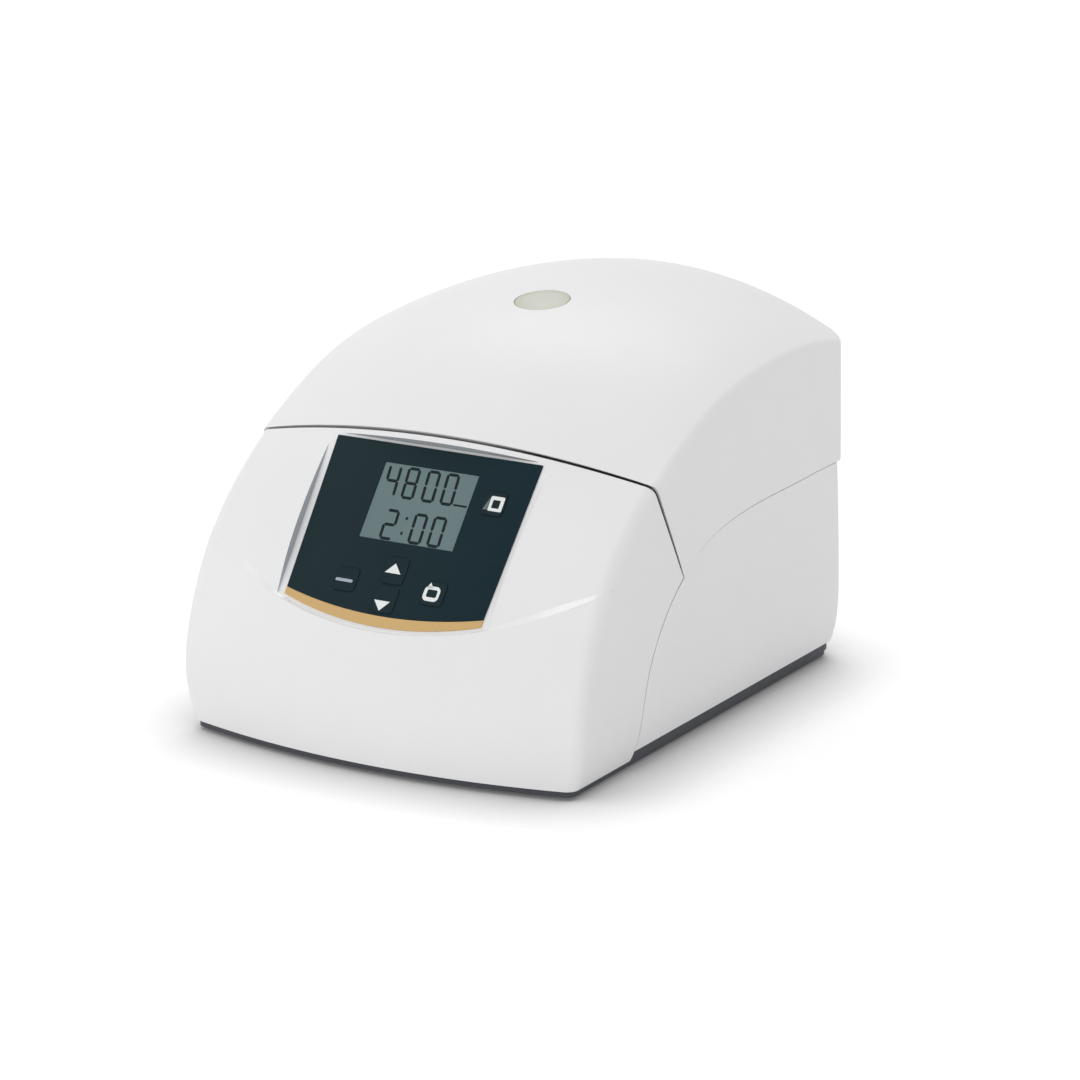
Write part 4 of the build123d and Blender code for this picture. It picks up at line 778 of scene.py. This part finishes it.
for name, side in (("rocker_off_mark", -1), ("rocker_on_mark", 1)):
    slope = math.atan2(ROCKER_RISE, ROCKER_HALF) * side + ROCKER_TILT
    along = Vector((math.cos(slope), math.sin(slope), 0))
    middle = Vector((math.cos(ROCKER_TILT), math.sin(ROCKER_TILT), 0)) * MARK_OUT * side
    outward = Vector((-math.sin(ROCKER_TILT), math.cos(ROCKER_TILT), 0))
    middle += outward * (ROCKER_FACE + ROCKER_RISE * MARK_OUT / ROCKER_HALF)
    sheet = Sheet(ROCKER_AXIS + middle, -along, (0, 0, 1))
    mesh = bmesh.new()
    if side < 0:
        outer, inner = rounded(0, 0, 3.6, 4.6, 1.79, 8), rounded(0, 0, 2.6, 3.6, 1.29, 8)
        frame_slab(mesh, sheet, outer, inner, MARK_LOW, MARK_HIGH)
    else:
        slab(mesh, sheet, rounded(0, 0, 0.7, 4.6, 0.2, 3), MARK_LOW, MARK_HIGH)
    piece(name, mesh, "power_rocker", ink_white)

# ---------------------------------------------------------------- floor, light, camera

FLOOR_REACH = 12.0
FLOOR_TONE_OTHER, FLOOR_TONE_SEEN = 0.93, 0.5  # for light that bounces, and for seen rays
# Painted contact shadow on the floor: its glow for seen rays dims where the object closes it in
CONTACT_REACH = 0.07
OPEN_LOW, OPEN_HIGH = 0.4, 0.95  # how open the floor is, from under the object to clear of it
GLOW_UNDER, GLOW_OPEN = 0.08, 0.58  # the floor's own light at those two


def stage_floor():
    """White floor that keeps the soft shadow and darkens close to the object, a painted contact
    shadow.
    """
    mesh = bmesh.new()
    bmesh.ops.create_grid(mesh, x_segments=1, y_segments=1, size=FLOOR_REACH)
    data = bpy.data.meshes.new("floor")
    mesh.to_mesh(data)
    mesh.free()
    floor = bpy.data.objects.new("floor", data)
    scene.collection.objects.link(floor)
    mat = bpy.data.materials.new("floor_look")
    mat.use_nodes = True
    tree = mat.node_tree
    tree.nodes.clear()
    out = tree.nodes.new("ShaderNodeOutputMaterial")
    both = tree.nodes.new("ShaderNodeAddShader")
    matt = tree.nodes.new("ShaderNodeBsdfDiffuse")
    glow = tree.nodes.new("ShaderNodeEmission")
    glow.inputs["Color"].default_value = (1, 1, 1, 1)
    seen = seen_rays(tree)
    tone = tree.nodes.new("ShaderNodeMapRange")
    tone.inputs["To Min"].default_value = FLOOR_TONE_OTHER
    tone.inputs["To Max"].default_value = FLOOR_TONE_SEEN
    tree.links.new(seen, tone.inputs["Value"])
    tree.links.new(tone.outputs["Result"], matt.inputs["Color"])
    # ambient occlusion that drives the painted contact shadow
    near = tree.nodes.new("ShaderNodeAmbientOcclusion")
    near.samples = 16
    near.inputs["Distance"].default_value = CONTACT_REACH
    fade = tree.nodes.new("ShaderNodeMapRange")
    fade.inputs["From Min"].default_value = OPEN_LOW
    fade.inputs["From Max"].default_value = OPEN_HIGH
    fade.inputs["To Min"].default_value = GLOW_UNDER
    fade.inputs["To Max"].default_value = GLOW_OPEN
    tree.links.new(near.outputs["AO"], fade.inputs["Value"])
    scale = tree.nodes.new("ShaderNodeMath")
    scale.operation = "MULTIPLY"
    tree.links.new(seen, scale.inputs[0])
    tree.links.new(fade.outputs["Result"], scale.inputs[1])
    tree.links.new(scale.outputs["Value"], glow.inputs["Strength"])
    tree.links.new(matt.outputs["BSDF"], both.inputs[0])
    tree.links.new(glow.outputs["Emission"], both.inputs[1])
    tree.links.new(both.outputs["Shader"], out.inputs["Surface"])
    data.materials.append(mat)


def seen_rays(tree):
    """1 for camera, glossy and transmission rays, else 0."""
    path = tree.nodes.new("ShaderNodeLightPath")
    value = path.outputs["Is Camera Ray"]
    for other in ("Is Glossy Ray", "Is Transmission Ray"):
        most = tree.nodes.new("ShaderNodeMath")
        most.operation = "MAXIMUM"
        tree.links.new(value, most.inputs[0])
        tree.links.new(path.outputs[other], most.inputs[1])
        value = most.outputs["Value"]
    return value


def sky(level):
    """Even light of a level; what the camera sees behind the object is white."""
    world = bpy.data.worlds.new("studio")
    scene.world = world
    world.use_nodes = True
    tree = world.node_tree
    ground = tree.nodes["Background"]
    ground.inputs["Color"].default_value = (1, 1, 1, 1)
    mix = tree.nodes.new("ShaderNodeMapRange")
    mix.inputs["To Min"].default_value = level
    mix.inputs["To Max"].default_value = 1.0
    tree.links.new(seen_rays(tree), mix.inputs["Value"])
    tree.links.new(mix.outputs["Result"], ground.inputs["Strength"])


def sun(name, toward, level, width):
    """Soft far light; toward points at it, and level is what a face square to it gets."""
    data = bpy.data.lights.new(name, "SUN")
    data.energy = level * math.pi
    data.angle = math.radians(width)
    obj = bpy.data.objects.new(name, data)
    obj.rotation_euler = Vector(toward).to_track_quat("Z", "Y").to_euler()
    scene.collection.objects.link(obj)


stage_floor()
sky(0.605)
sun("top_sun", (-0.25, 0.5, 0.83), 0.24, 40.0)
sun("front_sun", (0.45, -0.8, 0.35), 0.2, 50.0)
sun("left_sun", (-0.85, -0.45, 0.25), 0.21, 50.0)
sun("glint_sun", (-0.37, -0.41, 0.84), 0.03, 16.0)

# The camera fitted to the photograph, whose frame is 1080 pixels wide
TARGET = Vector((0.016799, 0.0, 0.100637))
AZIMUTH = math.radians(30.66513)
ELEVATION = math.radians(15.8941)
DISTANCE = 2.5
FOCAL_PIXELS = 4128.105
FRAME_PIXELS = 1080
SENSOR = 36.0

flat = math.cos(ELEVATION)
back = Vector((math.sin(AZIMUTH) * flat, -math.cos(AZIMUTH) * flat, math.sin(ELEVATION)))
view = bpy.data.cameras.new("camera")
view.sensor_width = SENSOR
view.lens = FOCAL_PIXELS / FRAME_PIXELS * SENSOR
view.clip_start = 0.05
view.clip_end = 60.0
camera = bpy.data.objects.new("camera", view)
camera.location = TARGET + back * DISTANCE
camera.rotation_euler = (-back).to_track_quat("-Z", "Y").to_euler()
scene.collection.objects.link(camera)
scene.camera = camera
scene.view_settings.view_transform = "Standard"
